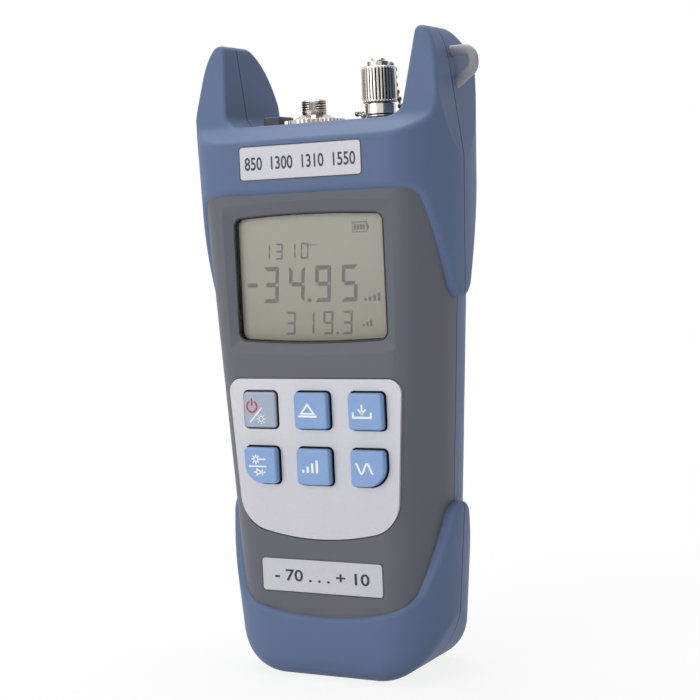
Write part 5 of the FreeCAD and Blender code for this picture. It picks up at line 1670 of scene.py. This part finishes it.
@dataclass
class LabelPrint:
    """Plain numbers printed on each of the two labels, and a thin dark line of painted shade round each
    label's edge.
    """

    ink: float = 0.015
    top_text: str = "850  1300  1310  1550"
    top_low: float = 156.3
    top_height: float = 4.0
    top_width: float = 38.0
    bottom_text: str = "- 70 . . . + 10"
    bottom_low: float = 30.2
    bottom_height: float = 3.7
    bottom_width: float = 33.0
    boldness: float = 0.02
    curve_steps: int = 5
    border: float = 0.22
    border_corner: float = 1.1
    corner_points: int = 9

    def lettering(self, text: str) -> bpy.types.Mesh:
        """Mesh of a line of text in Blender's own font.

        Args:
            text: the line.

        Returns:
            The flat mesh, in the font's own units.
        """
        data = bpy.data.curves.new("label_line", "FONT")
        data.body = text
        data.resolution_u = self.curve_steps
        data.offset = self.boldness
        return drawn_mesh(data)

    def place(self, node: str, text: str, low: float, width: float, height: float) -> Object:
        """Print a line of text on a label.

        The flat letters are scaled to a width and a height and stood on the label's face.

        Args:
            node: CAD node of the label.
            text: plain numbers.
            low: height of the line's foot.
            width: width of the line.
            height: height of the line.

        Returns:
            The print.
        """
        seat = Seat.of(node)
        mesh = self.lettering(text)
        flat = vertices_of(mesh)[:, :2]
        flat = (flat - flat.min(0)) / np.ptp(flat, axis=0) * np.array([width, height])
        across = seat.middle[0] - width / 2 + flat[:, 0]
        points = np.stack([across, np.full(len(flat), seat.low[1] - self.ink), low + flat[:, 1]], axis=1)
        mesh.vertices.foreach_set("co", (points * MM).ravel())
        mesh.update()
        return add_piece(node + "_print", mesh, LABEL_INK_AND_SHADE, Body.HOUSING)

    def build_shade_line(self, node: str) -> Object:
        """Make the thin dark line of painted shade round a label's edge: a ribbon along a rectangle with
        round corners.

        Args:
            node: CAD node of the label.

        Returns:
            The border.
        """
        seat = Seat.of(node)
        inner = (seat.high - seat.low)[[0, 2]] / 2 - self.border / 2 - self.border_corner
        turns = np.linspace(0, 2 * np.pi, 4 * self.corner_points, endpoint=False).reshape(4, -1)
        signs = np.array([[1, 1], [-1, 1], [-1, -1], [1, -1]])[:, None]
        arcs = signs * inner + self.border_corner * np.stack([np.cos(turns), np.sin(turns)], axis=-1)
        ribbon = stroke(arcs.reshape(-1, 2) + seat.middle[[0, 2]], self.border, closed=True)
        patch = facing_front(ribbon, seat.low[1] - self.ink, closed=True)
        # Painted shade: a dark ribbon where the gap round the label falls in shade
        return make_piece(node + "_shade_line", patch, LABEL_INK_AND_SHADE, Body.HOUSING, closed=False)

    def build(self) -> None:
        """Print both labels and paint the shade line round each."""
        self.build_shade_line("top_label")
        self.build_shade_line("bottom_label")
        self.place("top_label", self.top_text, self.top_low, self.top_width, self.top_height)
        self.place("bottom_label", self.bottom_text, self.bottom_low, self.bottom_width, self.bottom_height)


@dataclass
class Housing:
    """CAD nodes that keep their shape and get their finish."""

    display_foot: str = "a7a393"
    display_highlight_head: str = "bcb8a9"

    def display_film(self) -> DisplayFilm:
        """Display glass whose tone runs over its own height, with a painted highlight towards the head."""
        seat = Seat.of("lcd_panel")
        return DisplayFilm("display_glass", self.display_foot, self.display_highlight_head, seat.low[2], seat.high[2])

    def dress(self) -> None:
        """Give every CAD node its finish."""
        finishes = {
            "front_shell": GREY_SHELL, "top_bumper": BLUE_SHELL, "bottom_bumper": BLUE_SHELL,
            "rear_shell": BLUE_SHELL, "battery_door": BLUE_SHELL, "connector_panel": BLUE_SHELL,
            "display_window": WINDOW, "lcd_panel": self.display_film(), "lcd_frame": WHITE_PLASTIC,
            "top_label": TOP_LABEL_SHADED_SILVER, "bottom_label": LABEL_SILVER, "keypad_plate": KEYPAD_SILVER,
            "key_power": POWER_KEY, "key_switches": BLACK_PLASTIC, "main_board": BOARD_GREEN,
            "board_screws": STEEL, "shell_screws": STEEL, "detector_sleeve": CERAMIC, "laser_module": BRASS,
            "power_jack": BLACK_PLASTIC, "jack_plug": DARK_RUBBER, "strap_loop_left": LOOP_RUBBER,
            "strap_loop_right": LOOP_RUBBER, "battery_contacts": STEEL,
        }
        for name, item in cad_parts.items():
            default = BLUE_KEY if name.startswith("key_") else NICKEL
            default = CELL_WRAP if name.startswith("battery_cell") else default
            item.data.materials.clear()
            item.data.materials.append(finishes.get(name, default).material())
            LOG.info("%s dressed", name)


@dataclass(frozen=True)
class Softbox:
    """Square soft light: its place and side in millimetres, and its power in watts."""

    name: str
    place: Place
    size: float
    watts: float

    def hang(self, target: Place) -> None:
        """Hang the light so that it faces the object.

        Args:
            target: the point that it faces, in millimetres.
        """
        data = bpy.data.lights.new(self.name, "AREA")
        data.size = self.size * MM
        data.energy = self.watts
        spot = Vector(self.place) * MM
        facing = (Vector(target) * MM - spot).to_track_quat("-Z", "Y").to_matrix().to_4x4()
        add_object(self.name, data).matrix_world = Matrix.Translation(spot) @ facing


@dataclass
class Studio:
    """Camera at the photograph's place, soft light and a pale floor."""

    camera_place: Place = (245.6, -450.7, 140.1)
    camera_right: Place = (0.88126, 0.47036, -0.04644)
    camera_up: Place = (0.00386, 0.09109, 0.99584)
    camera_back: Place = (0.47263, -0.87776, 0.07846)
    lens_mm: float = 84.86
    sensor_mm: float = 36.0
    near_mm: float = 10.0
    far_mm: float = 50000.0
    target: Place = (0.0, 0.0, 110.0)
    lights: tuple[Softbox, ...] = (
        Softbox("softbox_front", (-420.0, -900.0, 420.0), size=800.0, watts=5.2),
        Softbox("softbox_above", (-200.0, 150.0, 1200.0), size=900.0, watts=12.0),
        Softbox("softbox_right", (1080.0, 300.0, 300.0), size=700.0, watts=1.0),
    )
    ambient: float = 0.34
    floor_half: float = 4000.0
    floor_colour: str = "e6e6e8"
    floor_white: float = 0.85
    floor_fade: Flat = (60.0, 420.0)

    def build_camera(self) -> None:
        """Stand the camera where the photograph was taken from."""
        data = bpy.data.cameras.new("photo_camera")
        data.lens = self.lens_mm
        data.sensor_width = self.sensor_mm
        data.clip_start = self.near_mm * MM
        data.clip_end = self.far_mm * MM
        camera = add_object("photo_camera", data)
        turn = Matrix((self.camera_right, self.camera_up, self.camera_back)).transposed().to_4x4()
        camera.matrix_world = Matrix.Translation(Vector(self.camera_place) * MM) @ turn
        bpy.context.scene.camera = camera

    @staticmethod
    def seen_rays(tree: Tree) -> Socket:
        """One for rays from the eye, through glass or off a mirror, and nought for diffuse light.

        Args:
            tree: node tree of the world or of the floor.

        Returns:
            The output that holds it.
        """
        rays = add_node(tree, "ShaderNodeLightPath").outputs
        direct = add_node(
            tree, "ShaderNodeMath", {0: rays["Is Camera Ray"], 1: rays["Is Transmission Ray"]},
            operation="MAXIMUM",
        ).outputs[0]
        return add_node(
            tree, "ShaderNodeMath", {0: direct, 1: rays["Is Glossy Ray"]}, operation="MAXIMUM",
        ).outputs[0]

    def build_world(self) -> None:
        """Make even light from all round, which the eye, mirrors and glass see as white."""
        world = bpy.data.worlds.new("studio")
        bpy.context.scene.world = world
        tree = bare_tree(world)
        strength = add_node(
            tree, "ShaderNodeMath", {0: self.seen_rays(tree), 1: 1 - self.ambient, 2: self.ambient},
            operation="MULTIPLY_ADD",
        ).outputs[0]
        sky = add_node(tree, "ShaderNodeBackground", {"Color": (1, 1, 1, 1), "Strength": strength})
        add_node(tree, "ShaderNodeOutputWorld", {"Surface": sky.outputs[0]})

    def floor_material(self) -> bpy.types.Material:
        """Matte floor that the eye sees as mostly white, and as all white far from the object.

        Returns:
            The material.
        """
        material = bpy.data.materials.new("studio_floor")
        tree = bare_tree(material)
        matte = add_node(tree, "ShaderNodeBsdfDiffuse", {"Color": linear(self.floor_colour)}).outputs[0]
        white = add_node(tree, "ShaderNodeEmission", {"Color": (1, 1, 1, 1), "Strength": 1.0}).outputs[0]
        place = add_node(tree, "ShaderNodeTexCoord").outputs["Object"]
        away = add_node(tree, "ShaderNodeVectorMath", {0: place}, operation="LENGTH").outputs["Value"]
        near, far = (reach * MM for reach in self.floor_fade)
        fade = add_node(
            tree, "ShaderNodeMapRange",
            {"Value": away, "From Min": near, "From Max": far, "To Min": self.floor_white, "To Max": 1.0},
            interpolation_type="SMOOTHSTEP",
        ).outputs[0]
        share = add_node(
            tree, "ShaderNodeMath", {0: self.seen_rays(tree), 1: fade}, operation="MULTIPLY",
        ).outputs[0]
        mixed = add_node(tree, "ShaderNodeMixShader", {0: share, 1: matte, 2: white}).outputs[0]
        add_node(tree, "ShaderNodeOutputMaterial", {"Surface": mixed})
        return material

    def build_floor(self) -> None:
        """Lay the pale floor, a flat grid that keeps a soft shadow."""
        reach = np.array([-self.floor_half, 0.0, self.floor_half])
        across, deep = np.meshgrid(reach, reach)
        mesh = Patch.grid(np.stack([across, deep, 0 * across], axis=-1)).mesh("studio_floor")
        mesh.materials.append(self.floor_material())
        floor = add_object("studio_floor", mesh)

    def build(self) -> None:
        """Set up camera, world, floor and lights."""
        self.build_camera()
        self.build_world()
        self.build_floor()
        for light in self.lights:
            light.hang(self.target)
        bpy.context.scene.view_settings.view_transform = "Standard"


def main() -> None:
    """Build the scene: studio, finishes of the CAD nodes, then the new pieces."""
    logging.basicConfig(level=logging.INFO, format="%(name)s %(message)s")
    Studio().build()
    Housing().dress()
    DetectorBarrel().build()
    LaserPort().build()
    DustCap().build()
    ScrewRecesses().build()
    BeadChain().build()
    display = Display()
    display.build_mask()
    display.build_seal()
    DisplayReading().build()
    KeyMarks().build()
    LabelPrint().build()


if __name__ == "__main__":
    main()
